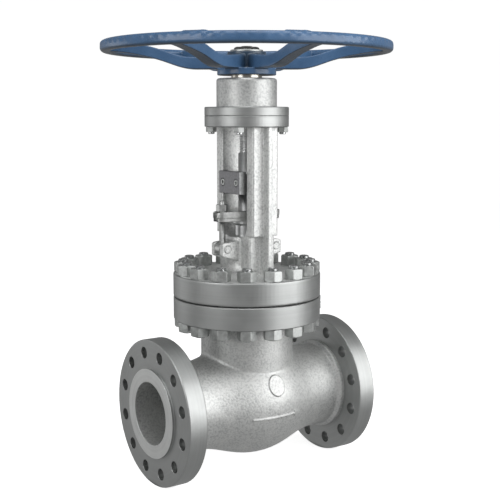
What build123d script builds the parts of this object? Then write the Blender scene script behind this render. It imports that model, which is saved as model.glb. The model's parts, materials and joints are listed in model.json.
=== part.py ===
"""Flanged globe valve, NPS 6 Class 600, with a bolted bonnet, outside screw and yoke, and a handwheel.

Millimetres. The pipe runs along X with the inlet at -X, the stem stands along +Z, and the origin
is where the pipe axis crosses the stem axis. The valve is modelled closed.
"""

from build123d import *
import math
import os

os.makedirs("parts", exist_ok=True)

# ---------------------------------------------------------------- driving dimensions
FACE_TO_FACE = 559.0
PIPE_BORE_R = 76.2
END_FLANGE_R = 177.8
END_FLANGE_THICK = 47.7
FLANGE_EDGE = 2.0
RAISED_FACE_R = 107.95
RAISED_FACE_H = 6.4
END_BOLT_CIRCLE_R = 146.05
END_BOLT_HOLE_R = 14.3
END_BOLT_COUNT = 12

BARREL_R = 142.0
BARREL_HALF_LENGTH = 178.0
HUB_R = 107.0
HUB_STEP_R = 115.0
HUB_STEP_W = 9.0
WALL = 25.0
NECK_R = 115.5
NECK_BORE_R = 95.0
SADDLE_FILLET = 12.0
NECK_ROOT_FILLET = 5.0

BONNET_FLANGE_R = 183.6
BODY_FLANGE_BOTTOM = 205.5
BODY_FLANGE_TOP = 260.8
BONNET_FLANGE_BOTTOM = 263.2
BONNET_FLANGE_TOP = 320.0
BONNET_BOLT_CIRCLE_R = 159.0
BONNET_BOLT_COUNT = 16
BONNET_BOLT_START = 11.25
BONNET_STUD_R = 12.7
BONNET_STUD_HOLE_R = 13.6
BONNET_NUT_FLATS = 41.3
BONNET_NUT_H = 25.0
LOWER_STUD_END = 5.0
UPPER_STUD_END = 8.0
NUT_TURN = 23.0
FIRST_NUT_TURN = 32.0

GASKET_OUTER_R = 112.0
GASKET_INNER_R = 98.0
GASKET_RECESS = 2.0

SEAT_WEB_BOTTOM = 8.0
SEAT_WEB_TOP = 26.0
SEAT_WEB_HALF_X = 92.0
SEAT_RING_R = 82.0
SEAT_BORE_R = 74.0
SEAT_CONE_R = 80.0

STEM_R = 21.0
STEM_THREAD_R = 18.0
STEM_THREAD_BOTTOM = 614.0
STEM_TOP = 873.0
LIFT = 45.0
RUNNING_FIT = 0.06
BODY_GAP = 0.4

BACKSEAT_BOTTOM = 200.0
BACKSEAT_TOP = 225.0
BUSHING_R = 30.0
STUFFING_BOX_R = 30.0
STUFFING_BOX_BOTTOM = 300.0
COLUMN_R = 48.0
COLUMN_TOP = 411.0
PACKING_RING_H = 9.0
PACKING_RING_COUNT = 7

ARM_HALF_W = 37.6
ARM_INNER_Y = 52.0
ARM_OUTER_Y = 82.0
ARM_FOOT_Y = 68.0
RIB_OUTER_Y = 102.0
RIB_ROOT_HALF_W = 10.5
RIB_OUTER_HALF_W = 6.0
YOKE_DISC_R = 103.5
YOKE_DISC_BOTTOM = 679.0
YOKE_DISC_TOP = 706.0

HOUSING_FLANGE_TOP = 727.0
HOUSING_R = 74.0
HOUSING_TOP = 796.0
HOUSING_CAVITY_R = 60.0
HOUSING_CEILING = 772.6
HOUSING_BOLT_CIRCLE_R = 89.0
HOUSING_STUD_R = 8.0
HOUSING_STUD_COUNT = 4
HOUSING_NUT_FLATS = 24.0
HOUSING_NUT_H = 13.0

BALL_R = 6.0
BALL_CIRCLE_R = 47.0
BALL_COUNT = 18
RACE_INNER_R = 38.5
RACE_OUTER_R = 56.0
RACE_H = 6.0

WHEEL_R = 353.0
RIM_SECTION = 26.5
RIM_CORNER = 9.0
RIM_CENTRE_Z = 869.3
SPOKE_COUNT = 6
SPOKE_START = 26.0
SPOKE_HUB_W = 40.0
SPOKE_RIM_W = 26.0
SPOKE_DEPTH = 25.0
COLLAR_R = 72.0
HUB_BARREL_R = 47.0
HUB_BORE_R = 29.0
HUB_BOTTOM = 803.0
COLLAR_TOP = 819.0
HUB_TOP = 859.0
SLEEVE_R = 37.5
SLEEVE_END_R = 22.5

PIN_X = 72.0
PIN_Z = 382.0
PIN_R = 9.0
EYE_R = 16.0
EYEBOLT_SHANK_R = 8.0
EYEBOLT_TOP = 500.0
GLAND_BOTTOM = 450.0
GLAND_TOP = 474.0
GLAND_NUT_FLATS = 27.0
GLAND_NUT_H = 17.0
EAR_INNER_Y = 12.5
EAR_OUTER_Y = 25.0
EAR_END_X = 88.0
EAR_FOOT = 352.0
EAR_BOTTOM = 364.0
EAR_TOP = 398.0
EAR_CORNER = 4.0
EAR_ROOT = 12.0
EAR_ROOT_TOP = 403.0

PLATE_OUTER_X = 52.0
PLATE_THICK = 19.0
PLATE_HALF_Y = 46.0
PLATE_BOTTOM = 516.5
PLATE_TOP = 571.5
PLATE_SCREW_Y = 29.4

FACE_X = FACE_TO_FACE / 2
FLANGE_FRONT_X = FACE_X - RAISED_FACE_H
FLANGE_BACK_X = FLANGE_FRONT_X - END_FLANGE_THICK
HUB_STEP_X = FLANGE_BACK_X - HUB_STEP_W


def corner_radius(flats):
    """Radius to the corners of a hexagon with this width across its flats."""
    return flats / math.sqrt(3)


def hex_nut(flats, height, bottom, hole_r, turn=0.0):
    """A hexagon nut on the stem axis, bevelled at both ends."""
    corner_r = corner_radius(flats)
    bevel = (corner_r - flats / 2) * 0.6
    with BuildPart() as nut:
        with BuildSketch(Plane.XY.offset(bottom)):
            RegularPolygon(corner_r, 6, rotation=turn)
        extrude(amount=height)
        with BuildSketch(Plane.XZ):
            with BuildLine():
                Polyline(
                    (hole_r, bottom),
                    (flats / 2, bottom),
                    (corner_r, bottom + bevel),
                    (corner_r, bottom + height - bevel),
                    (flats / 2, bottom + height),
                    (hole_r, bottom + height),
                    close=True,
                )
            make_face()
        revolve(axis=Axis.Z, mode=Mode.INTERSECT)
    return nut.part


def rings(part, radius):
    """The circular edges of a part that have this radius."""
    return part.edges().filter_by(lambda e: e.geom_type == GeomType.CIRCLE and abs(e.radius - radius) < 0.1)


def turned(profile, name):
    """Turns a closed outline of radius and height pairs about the stem axis."""
    with BuildPart() as piece:
        with BuildSketch(Plane.XZ):
            with BuildLine():
                Polyline(*profile, close=True)
            make_face()
        revolve(axis=Axis.Z)
    piece.part.label = name
    return piece.part


# ---------------------------------------------------------------- valve body
with BuildPart() as barrel:
    with BuildSketch(Plane.XZ):
        with BuildLine():
            Line((0, 0), (-FACE_X, 0))
            Polyline(
                (-FACE_X, 0),
                (-FACE_X, RAISED_FACE_R),
                (-FLANGE_FRONT_X, RAISED_FACE_R),
                (-FLANGE_FRONT_X, END_FLANGE_R - FLANGE_EDGE),
                (-FLANGE_FRONT_X + FLANGE_EDGE, END_FLANGE_R),
                (-FLANGE_BACK_X - FLANGE_EDGE, END_FLANGE_R),
                (-FLANGE_BACK_X, END_FLANGE_R - FLANGE_EDGE),
                (-FLANGE_BACK_X, HUB_STEP_R),
                (-HUB_STEP_X, HUB_STEP_R),
                (-HUB_STEP_X + HUB_STEP_R - HUB_R, HUB_R),
                (-BARREL_HALF_LENGTH, HUB_R),
            )
            Spline((-BARREL_HALF_LENGTH, HUB_R), (0, BARREL_R), tangents=((1, 0), (1, 0)))
            Line((0, BARREL_R), (0, 0))
        make_face()
        mirror(about=Plane.YZ)
    revolve(axis=Axis.X)

# The waterway inside the barrel, which an S-shaped partition splits into two chambers.
with BuildPart() as waterway:
    with BuildSketch(Plane.XZ):
        with BuildLine():
            Line((0, 0), (-FACE_X - 1, 0))
            Line((-FACE_X - 1, 0), (-FACE_X - 1, PIPE_BORE_R))
            Line((-FACE_X - 1, PIPE_BORE_R), (-BARREL_HALF_LENGTH, PIPE_BORE_R))
            Spline(
                (-BARREL_HALF_LENGTH, PIPE_BORE_R),
                (0, BARREL_R - WALL),
                tangents=((1, 0), (1, 0)),
            )
            Line((0, BARREL_R - WALL), (0, 0))
        make_face()
        mirror(about=Plane.YZ)
    revolve(axis=Axis.X)

PARTITION_TOP_X = 162.0
PARTITION_FOOT_X = 140.0
with BuildPart() as inlet_chamber:
    add(waterway.part)
    with BuildSketch(Plane.XZ):
        with BuildLine():
            Polyline(
                (-FACE_X - 2, -BARREL_R),
                (-FACE_X - 2, BARREL_R),
                (-PARTITION_TOP_X, BARREL_R),
                (-SEAT_WEB_HALF_X - 9, SEAT_WEB_BOTTOM),
                (SEAT_WEB_HALF_X - 9, SEAT_WEB_BOTTOM),
                (PARTITION_FOOT_X, -BARREL_R),
                close=True,
            )
        make_face()
    extrude(amount=BARREL_R, both=True, mode=Mode.INTERSECT)

with BuildPart() as outlet_chamber:
    add(waterway.part)
    with BuildSketch(Plane.XZ):
        with BuildLine():
            Polyline(
                (FACE_X + 2, BARREL_R),
                (FACE_X + 2, -BARREL_R),
                (PARTITION_TOP_X, -BARREL_R),
                (SEAT_WEB_HALF_X + 9, SEAT_WEB_TOP),
                (-SEAT_WEB_HALF_X + 9, SEAT_WEB_TOP),
                (-PARTITION_FOOT_X, BARREL_R),
                close=True,
            )
        make_face()
    extrude(amount=BARREL_R, both=True, mode=Mode.INTERSECT)

# The raised flow arrow follows the barrel's surface, so it is cut from a slightly larger barrel.
ARROW_RELIEF = 3.0
ARROW_Z = -21.0
ARROW_TAIL_X = -70.0
ARROW_TIP_X = 72.0
ARROW_LINE_HALF_W = 2.5
ARROW_HEAD_HALF_W = 9.0
ARROW_HEAD_X = ARROW_TIP_X - 22.0
with BuildPart() as flow_arrow:
    with BuildSketch(Plane.XZ):
        with BuildLine():
            Line((0, 0), (-BARREL_HALF_LENGTH, 0))
            Line((-BARREL_HALF_LENGTH, 0), (-BARREL_HALF_LENGTH, HUB_R + ARROW_RELIEF))
            Spline(
                (-BARREL_HALF_LENGTH, HUB_R + ARROW_RELIEF),
                (0, BARREL_R + ARROW_RELIEF),
                tangents=((1, 0), (1, 0)),
            )
            Line((0, BARREL_R + ARROW_RELIEF), (0, 0))
        make_face()
        mirror(about=Plane.YZ)
    revolve(axis=Axis.X)
    with BuildSketch(Plane.XZ.offset(BARREL_R * 0.8)):
        with BuildLine():
            Polyline(
                (ARROW_TAIL_X, ARROW_Z - ARROW_LINE_HALF_W),
                (ARROW_HEAD_X, ARROW_Z - ARROW_LINE_HALF_W),
                (ARROW_HEAD_X, ARROW_Z - ARROW_HEAD_HALF_W),
                (ARROW_TIP_X, ARROW_Z),
                (ARROW_HEAD_X, ARROW_Z + ARROW_HEAD_HALF_W),
                (ARROW_HEAD_X, ARROW_Z + ARROW_LINE_HALF_W),
                (ARROW_TAIL_X, ARROW_Z + ARROW_LINE_HALF_W),
                close=True,
            )
        make_face()
    extrude(amount=BARREL_R, mode=Mode.INTERSECT)

# The whole casting. The oval pad is a flat facing on the front of the barrel, just under the neck.
PAD_TILT = math.radians(23)
PAD_REACH = BARREL_R + 1.5
PAD_HALF_X = 22.0
PAD_HALF_H = 26.0
PAD_NORMAL = Vector(0, -math.cos(PAD_TILT), math.sin(PAD_TILT))
PAD_PLANE = Plane(origin=PAD_NORMAL * PAD_REACH, x_dir=(1, 0, 0), z_dir=PAD_NORMAL)
with BuildPart() as casting:
    add(barrel.part)
    with BuildSketch():
        Circle(NECK_R)
    extrude(amount=BODY_FLANGE_BOTTOM + 5)
    saddle = casting.edges().filter_by(GeomType.BSPLINE).filter_by(
        lambda e: e.bounding_box().size.Y > NECK_R / 2
    )
    fillet(saddle, SADDLE_FILLET)
    with BuildSketch(Plane.XY.offset(BODY_FLANGE_BOTTOM)):
        Circle(BONNET_FLANGE_R)
    extrude(amount=BODY_FLANGE_TOP - BODY_FLANGE_BOTTOM)
    fillet(rings(casting, NECK_R), NECK_ROOT_FILLET)
    chamfer(rings(casting, BONNET_FLANGE_R), FLANGE_EDGE)
    with BuildSketch(PAD_PLANE):
        Ellipse(PAD_HALF_X, PAD_HALF_H)
    extrude(amount=-WALL)
    add(flow_arrow.part)
    add(inlet_chamber.part, mode=Mode.SUBTRACT)
    add(outlet_chamber.part, mode=Mode.SUBTRACT)
    with BuildSketch(Plane.XY.offset(SEAT_WEB_TOP)):
        Circle(NECK_BORE_R)
    extrude(amount=BODY_FLANGE_TOP, mode=Mode.SUBTRACT)
    with BuildSketch(Plane.XY.offset(SEAT_WEB_BOTTOM - 1)):
        Circle(SEAT_RING_R)
    extrude(amount=SEAT_WEB_TOP, mode=Mode.SUBTRACT)
    with BuildSketch(Plane.XY.offset(BODY_FLANGE_TOP)):
        Circle(GASKET_OUTER_R + BODY_GAP)
    extrude(amount=-GASKET_RECESS, mode=Mode.SUBTRACT)
    with BuildSketch(Plane.XY.offset(BODY_FLANGE_TOP)):
        with PolarLocations(BONNET_BOLT_CIRCLE_R, BONNET_BOLT_COUNT, start_angle=BONNET_BOLT_START):
            Circle(BONNET_STUD_HOLE_R)
    extrude(amount=BODY_FLANGE_BOTTOM - BODY_FLANGE_TOP, mode=Mode.SUBTRACT)
    for flange_front in (-FLANGE_FRONT_X, FLANGE_BACK_X):
        with BuildSketch(Plane.YZ.offset(flange_front)):
            with PolarLocations(END_BOLT_CIRCLE_R, END_BOLT_COUNT, start_angle=180 / END_BOLT_COUNT):
                Circle(END_BOLT_HOLE_R)
        extrude(amount=END_FLANGE_THICK, mode=Mode.SUBTRACT)

# The real casting is one piece. Here it is seven nodes that meet face to face: two end flanges, the
# body flange, the neck, the barrel in two halves, and the partition inside it.
NECK_SPLIT = 125.0
with BuildPart() as inlet_end_flange:
    add(casting.part)
    split(bisect_by=Plane.YZ.offset(-FLANGE_BACK_X), keep=Keep.BOTTOM)
inlet_end_flange.part.label = "inlet_end_flange"
export_step(inlet_end_flange.part, "parts/inlet_end_flange.step")

with BuildPart() as outlet_end_flange:
    add(casting.part)
    split(bisect_by=Plane.YZ.offset(FLANGE_BACK_X), keep=Keep.TOP)
outlet_end_flange.part.label = "outlet_end_flange"
export_step(outlet_end_flange.part, "parts/outlet_end_flange.step")

with BuildPart() as body_flange:
    add(casting.part)
    split(bisect_by=Plane.XY.offset(BODY_FLANGE_BOTTOM), keep=Keep.TOP)
body_flange.part.label = "body_flange"
export_step(body_flange.part, "parts/body_flange.step")

with BuildPart() as neck:
    add(casting.part)
    split(bisect_by=Plane.XY.offset(BODY_FLANGE_BOTTOM), keep=Keep.BOTTOM)
    split(bisect_by=Plane.XY.offset(NECK_SPLIT), keep=Keep.TOP)
    with BuildSketch(Plane.XY.offset(NECK_SPLIT)):
        Circle(NECK_R + SADDLE_FILLET)
    extrude(amount=BODY_FLANGE_BOTTOM - NECK_SPLIT, mode=Mode.INTERSECT)
neck.part.label = "neck"
export_step(neck.part, "parts/neck.step")

with BuildPart() as partition:
    add(casting.part)
    add(waterway.part, mode=Mode.INTERSECT)
partition.part.label = "partition"
export_step(partition.part, "parts/partition.step")

with BuildPart() as inlet_barrel:
    add(casting.part)
    add(waterway.part, mode=Mode.SUBTRACT)
    split(bisect_by=Plane.XY.offset(NECK_SPLIT), keep=Keep.BOTTOM)
    split(bisect_by=Plane.YZ.offset(-FLANGE_BACK_X), keep=Keep.TOP)
    split(bisect_by=Plane.YZ, keep=Keep.BOTTOM)
inlet_barrel.part.label = "inlet_barrel"
export_step(inlet_barrel.part, "parts/inlet_barrel.step")

with BuildPart() as outlet_barrel:
    add(casting.part)
    add(waterway.part, mode=Mode.SUBTRACT)
    split(bisect_by=Plane.XY.offset(NECK_SPLIT), keep=Keep.BOTTOM)
    split(bisect_by=Plane.YZ.offset(FLANGE_BACK_X), keep=Keep.BOTTOM)
    split(bisect_by=Plane.YZ, keep=Keep.TOP)
outlet_barrel.part.label = "outlet_barrel"
export_step(outlet_barrel.part, "parts/outlet_barrel.step")

# ---------------------------------------------------------------- seat ring
seat_ring = turned(
    [
        (SEAT_BORE_R, SEAT_WEB_BOTTOM - 1),
        (SEAT_RING_R, SEAT_WEB_BOTTOM - 1),
        (SEAT_RING_R, SEAT_WEB_TOP),
        (SEAT_RING_R + 6, SEAT_WEB_TOP),
        (SEAT_RING_R + 6, SEAT_WEB_TOP + 8),
        (SEAT_CONE_R, SEAT_WEB_TOP + 8),
        (SEAT_BORE_R, SEAT_WEB_TOP + 2),
    ],
    "seat_ring",
)
export_step(seat_ring, "parts/seat_ring.step")

# ---------------------------------------------------------------- bonnet gasket
GASKET_BOTTOM = BODY_FLANGE_TOP - GASKET_RECESS
bonnet_gasket = turned(
    [
        (GASKET_INNER_R, GASKET_BOTTOM),
        (GASKET_OUTER_R, GASKET_BOTTOM),
        (GASKET_OUTER_R, BONNET_FLANGE_BOTTOM),
        (GASKET_INNER_R, BONNET_FLANGE_BOTTOM),
    ],
    "bonnet_gasket",
)
export_step(bonnet_gasket, "parts/bonnet_gasket.step")

# ---------------------------------------------------------------- bonnet and yoke, one casting
SPIGOT_BOTTOM = 240.0
BOSS_R = 45.0
COLUMN_FLARE = 24.0
ARM_CORNER = 6.0
RIB_ROOT = 10.0
OVERLAP = 5.0
ARM_STEP_Z = 416.0
WINDOW_COVE = 20.0
THROAT_R = 22.0
YOKE_BORE_R = 36.0
with BuildPart() as bonnet_yoke:
    with BuildSketch(Plane.XZ):
        with BuildLine():
            Polyline(
                (0, COLUMN_TOP),
                (0, BACKSEAT_BOTTOM),
                (BOSS_R, BACKSEAT_BOTTOM),
                (BOSS_R, SPIGOT_BOTTOM),
                (NECK_BORE_R - BODY_GAP, SPIGOT_BOTTOM),
                (NECK_BORE_R - BODY_GAP, BONNET_FLANGE_BOTTOM),
                (BONNET_FLANGE_R, BONNET_FLANGE_BOTTOM),
                (BONNET_FLANGE_R, BONNET_FLANGE_TOP),
                (COLUMN_R + COLUMN_FLARE, BONNET_FLANGE_TOP),
            )
            RadiusArc(
                (COLUMN_R + COLUMN_FLARE, BONNET_FLANGE_TOP),
                (COLUMN_R, BONNET_FLANGE_TOP + COLUMN_FLARE),
                COLUMN_FLARE,
            )
            Line((COLUMN_R, BONNET_FLANGE_TOP + COLUMN_FLARE), (COLUMN_R, COLUMN_TOP))
            Line((COLUMN_R, COLUMN_TOP), (0, COLUMN_TOP))
        make_face()
    revolve(axis=Axis.Z)
    for side in (-1, 1):
        with BuildSketch(Plane.XY.offset(ARM_STEP_Z)):
            with Locations((0, side * (ARM_INNER_Y + ARM_OUTER_Y) / 2)):
                RectangleRounded(2 * ARM_HALF_W, ARM_OUTER_Y - ARM_INNER_Y, ARM_CORNER)
        extrude(amount=YOKE_DISC_BOTTOM + OVERLAP - ARM_STEP_Z)
        with BuildSketch(Plane.XY.offset(BONNET_FLANGE_TOP - OVERLAP)):
            with Locations((0, side * ARM_FOOT_Y / 2)):
                RectangleRounded(2 * ARM_HALF_W, ARM_FOOT_Y, ARM_CORNER)
        extrude(amount=COLUMN_TOP + OVERLAP - BONNET_FLANGE_TOP)
        with BuildSketch(Plane.XY.offset(COLUMN_TOP - OVERLAP)):
            with Locations((0, side * (ARM_INNER_Y + ARM_FOOT_Y) / 2)):
                Rectangle(2 * ARM_HALF_W - ARM_CORNER, ARM_FOOT_Y - ARM_INNER_Y)
        extrude(amount=ARM_STEP_Z + OVERLAP - COLUMN_TOP + OVERLAP)
        # A cove rounds the bottom corner of the window, where the arm rises from the column.
        with BuildSketch(Plane.YZ):
            with BuildLine():
                ThreePointArc(
                    (side * ARM_INNER_Y, COLUMN_TOP + WINDOW_COVE),
                    (
                        side * (ARM_INNER_Y - WINDOW_COVE * (1 - math.sqrt(0.5))),
                        COLUMN_TOP + WINDOW_COVE * (1 - math.sqrt(0.5)),
                    ),
                    (side * (ARM_INNER_Y - WINDOW_COVE), COLUMN_TOP),
                )
                Polyline(
                    (side * (ARM_INNER_Y - WINDOW_COVE), COLUMN_TOP),
                    (side * (ARM_INNER_Y - WINDOW_COVE), COLUMN_TOP - OVERLAP),
                    (side * (ARM_INNER_Y + OVERLAP), COLUMN_TOP - OVERLAP),
                    (side * (ARM_INNER_Y + OVERLAP), COLUMN_TOP + WINDOW_COVE),
                    (side * ARM_INNER_Y, COLUMN_TOP + WINDOW_COVE),
                )
            make_face()
        extrude(amount=ARM_HALF_W, both=True)
        with BuildSketch(Plane.XY.offset(BONNET_FLANGE_TOP - OVERLAP)):
            with BuildLine():
                Polyline(
                    (-RIB_ROOT_HALF_W, side * (ARM_FOOT_Y - RIB_ROOT)),
                    (-RIB_OUTER_HALF_W, side * RIB_OUTER_Y),
                    (RIB_OUTER_HALF_W, side * RIB_OUTER_Y),
                    (RIB_ROOT_HALF_W, side * (ARM_FOOT_Y - RIB_ROOT)),
                    close=True,
                )
            make_face()
        extrude(amount=YOKE_DISC_BOTTOM + OVERLAP - BONNET_FLANGE_TOP)
        # Two ears on each side of the column carry the pin of a gland eyebolt.
        with BuildSketch(Plane.XZ):
            with BuildLine():
                Polyline(
                    (side * (COLUMN_R - EAR_ROOT), EAR_FOOT),
                    (side * (EAR_END_X - EAR_CORNER), EAR_BOTTOM),
                    (side * EAR_END_X, EAR_BOTTOM + EAR_CORNER),
                    (side * EAR_END_X, EAR_TOP - EAR_CORNER),
                    (side * (EAR_END_X - EAR_CORNER), EAR_TOP),
                    (side * (COLUMN_R - EAR_ROOT), EAR_ROOT_TOP),
                    close=True,
                )
            make_face()
        extrude(amount=EAR_OUTER_Y, both=True)
    with BuildSketch(Plane.XY.offset(YOKE_DISC_BOTTOM)):
        Circle(YOKE_DISC_R)
    extrude(amount=YOKE_DISC_TOP - YOKE_DISC_BOTTOM)
    chamfer(rings(bonnet_yoke, BONNET_FLANGE_R), FLANGE_EDGE)
    chamfer(rings(bonnet_yoke, YOKE_DISC_R).sort_by(Axis.Z)[0], 0.8)
    # Slots between the ears, open at the top, the bottom and the end, let the eyebolts swing out.
    with BuildSketch(Plane.XY.offset(BONNET_FLANGE_TOP + COLUMN_FLARE)):
        for side in (-1, 1):
            with Locations((side * (COLUMN_R + 4 + EAR_END_X / 2), 0)):
                Rectangle(EAR_END_X, 2 * EAR_INNER_Y)
    extrude(amount=COLUMN_TOP - BONNET_FLANGE_TOP, mode=Mode.SUBTRACT)
    with BuildSketch(Plane.XZ):
        with Locations((-PIN_X, PIN_Z), (PIN_X, PIN_Z)):
            Circle(PIN_R)
    extrude(amount=EAR_OUTER_Y + 5, both=True, mode=Mode.SUBTRACT)
    with BuildSketch(Plane.XY.offset(BACKSEAT_BOTTOM)):
        Circle(BUSHING_R)
    extrude(amount=BACKSEAT_TOP - BACKSEAT_BOTTOM, mode=Mode.SUBTRACT)
    with BuildSketch(Plane.XY.offset(BACKSEAT_TOP)):
        Circle(THROAT_R)
    extrude(amount=STUFFING_BOX_BOTTOM - BACKSEAT_TOP, mode=Mode.SUBTRACT)
    with BuildSketch(Plane.XY.offset(STUFFING_BOX_BOTTOM)):
        Circle(STUFFING_BOX_R)
    extrude(amount=COLUMN_TOP + 10 - STUFFING_BOX_BOTTOM, mode=Mode.SUBTRACT)
    with BuildSketch(Plane.XY.offset(YOKE_DISC_BOTTOM)):
        Circle(YOKE_BORE_R)
    extrude(amount=YOKE_DISC_TOP, mode=Mode.SUBTRACT)
    with BuildSketch(Plane.XY.offset(BONNET_FLANGE_BOTTOM)):
        with PolarLocations(BONNET_BOLT_CIRCLE_R, BONNET_BOLT_COUNT, start_angle=BONNET_BOLT_START):
            Circle(BONNET_STUD_HOLE_R)
    extrude(amount=BONNET_FLANGE_TOP - BONNET_FLANGE_BOTTOM, mode=Mode.SUBTRACT)
    with BuildSketch(Plane.XY.offset(YOKE_DISC_BOTTOM)):
        with PolarLocations(HOUSING_BOLT_CIRCLE_R, HOUSING_STUD_COUNT, start_angle=45):
            Circle(HOUSING_STUD_R + BODY_GAP)
    extrude(amount=YOKE_DISC_TOP - YOKE_DISC_BOTTOM, mode=Mode.SUBTRACT)
bonnet_yoke.part.label = "bonnet_yoke"
export_step(bonnet_yoke.part, "parts/bonnet_yoke.step")

# ---------------------------------------------------------------- backseat bushing
BACKSEAT_CONE_R = 28.0
backseat_bushing = turned(
    [
        (STEM_R + RUNNING_FIT, BACKSEAT_TOP),
        (BUSHING_R, BACKSEAT_TOP),
        (BUSHING_R, BACKSEAT_BOTTOM),
        (BACKSEAT_CONE_R, BACKSEAT_BOTTOM),
        (STEM_R + RUNNING_FIT, BACKSEAT_BOTTOM + BACKSEAT_CONE_R - STEM_R),
    ],
    "backseat_bushing",
)
export_step(backseat_bushing, "parts/backseat_bushing.step")

# ---------------------------------------------------------------- bonnet studs and nuts
# Each nut stopped at its own angle when it was tightened.
STUD_BOTTOM = BODY_FLANGE_BOTTOM - BONNET_NUT_H - LOWER_STUD_END
STUD_TOP = BONNET_FLANGE_TOP + BONNET_NUT_H + UPPER_STUD_END
BOLT_STEP = 360 / BONNET_BOLT_COUNT
with BuildPart() as bonnet_studs:
    with PolarLocations(BONNET_BOLT_CIRCLE_R, BONNET_BOLT_COUNT, start_angle=BONNET_BOLT_START):
        with Locations((0, 0, (STUD_BOTTOM + STUD_TOP) / 2)):
            Cylinder(BONNET_STUD_R, STUD_TOP - STUD_BOTTOM)
    chamfer(bonnet_studs.edges().filter_by(GeomType.CIRCLE), 2.5)
bonnet_studs.part.label = "bonnet_studs"
export_step(bonnet_studs.part, "parts/bonnet_studs.step")

upper_nut = hex_nut(BONNET_NUT_FLATS, BONNET_NUT_H, BONNET_FLANGE_TOP, BONNET_STUD_R)
with BuildPart() as upper_bonnet_nuts:
    for place in range(BONNET_BOLT_COUNT):
        with PolarLocations(BONNET_BOLT_CIRCLE_R, 1, start_angle=BONNET_BOLT_START + place * BOLT_STEP):
            add(upper_nut, rotation=(0, 0, FIRST_NUT_TURN + place * NUT_TURN))
upper_bonnet_nuts.part.label = "upper_bonnet_nuts"
export_step(upper_bonnet_nuts.part, "parts/upper_bonnet_nuts.step")

LOWER_NUT_BOTTOM = BODY_FLANGE_BOTTOM - BONNET_NUT_H
lower_nut = hex_nut(BONNET_NUT_FLATS, BONNET_NUT_H, LOWER_NUT_BOTTOM, BONNET_STUD_R)
with BuildPart() as lower_bonnet_nuts:
    for place in range(BONNET_BOLT_COUNT):
        with PolarLocations(BONNET_BOLT_CIRCLE_R, 1, start_angle=BONNET_BOLT_START + place * BOLT_STEP):
            add(lower_nut, rotation=(0, 0, FIRST_NUT_TURN + place * NUT_TURN))
lower_bonnet_nuts.part.label = "lower_bonnet_nuts"
export_step(lower_bonnet_nuts.part, "parts/lower_bonnet_nuts.step")

# ---------------------------------------------------------------- packing and gland
with BuildPart() as packing_rings:
    for ring in range(PACKING_RING_COUNT):
        with BuildSketch(Plane.XY.offset(STUFFING_BOX_BOTTOM + ring * PACKING_RING_H + 0.1)):
            Circle(STUFFING_BOX_R)
            Circle(STEM_R + RUNNING_FIT, mode=Mode.SUBTRACT)
        extrude(amount=PACKING_RING_H - 0.2)
packing_rings.part.label = "packing_rings"
export_step(packing_rings.part, "parts/packing_rings.step")

PACKING_TOP = STUFFING_BOX_BOTTOM + PACKING_RING_COUNT * PACKING_RING_H
GLAND_COLLAR_R = 36.0
GLAND_COLLAR_H = 9.0
GLAND_BORE_R = STEM_R + BODY_GAP
gland_bushing = turned(
    [
        (GLAND_BORE_R, PACKING_TOP),
        (STUFFING_BOX_R - 0.2, PACKING_TOP),
        (STUFFING_BOX_R - 0.2, GLAND_BOTTOM - GLAND_COLLAR_H - 3),
        (GLAND_COLLAR_R, GLAND_BOTTOM - GLAND_COLLAR_H + 2),
        (GLAND_COLLAR_R, GLAND_BOTTOM),
        (GLAND_BORE_R, GLAND_BOTTOM),
    ],
    "gland_bushing",
)
export_step(gland_bushing, "parts/gland_bushing.step")

GLAND_END_R = 22.0
GLAND_MIDDLE_R = 44.0
GLAND_HALF_LENGTH = 95.0
GLAND_SLOT_W = 18.0
GLAND_STEP_H = 9.0
CROWN_R = GLAND_TOP - PIN_Z
with BuildPart() as gland_flange:
    for inset, bottom, height in (
        (1.2, GLAND_BOTTOM, GLAND_STEP_H),
        (0.0, GLAND_BOTTOM + GLAND_STEP_H, GLAND_TOP - GLAND_BOTTOM - GLAND_STEP_H),
    ):
        with BuildSketch(Plane.XY.offset(bottom)):
            Circle(GLAND_MIDDLE_R - inset)
            with Locations(
                (-GLAND_HALF_LENGTH + GLAND_END_R, 0),
                (GLAND_HALF_LENGTH - GLAND_END_R, 0),
            ):
                Circle(GLAND_END_R - inset)
            make_hull()
        extrude(amount=height)
    with BuildSketch(Plane.XY.offset(GLAND_BOTTOM)):
        Circle(GLAND_BORE_R)
        for side in (-1, 1):
            with Locations((side * PIN_X, 0)):
                Circle(GLAND_SLOT_W / 2)
            with Locations((side * (PIN_X + GLAND_HALF_LENGTH) / 2, 0)):
                Rectangle(GLAND_HALF_LENGTH - PIN_X + 4, GLAND_SLOT_W)
    extrude(amount=GLAND_TOP - GLAND_BOTTOM, mode=Mode.SUBTRACT)
    # Outboard of the bolts the top is crowned about the pins, so a nut clears it as it swings out.
    for side in (-1, 1):
        with BuildSketch(Plane.XZ):
            with Locations((side * (PIN_X + GLAND_END_R), GLAND_TOP)):
                Rectangle(2 * GLAND_END_R, 2 * GLAND_END_R)
            with Locations((side * PIN_X, PIN_Z)):
                Circle(CROWN_R, mode=Mode.SUBTRACT)
        extrude(amount=GLAND_MIDDLE_R, both=True, mode=Mode.SUBTRACT)
gland_flange.part.label = "gland_flange"
export_step(gland_flange.part, "parts/gland_flange.step")

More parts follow.
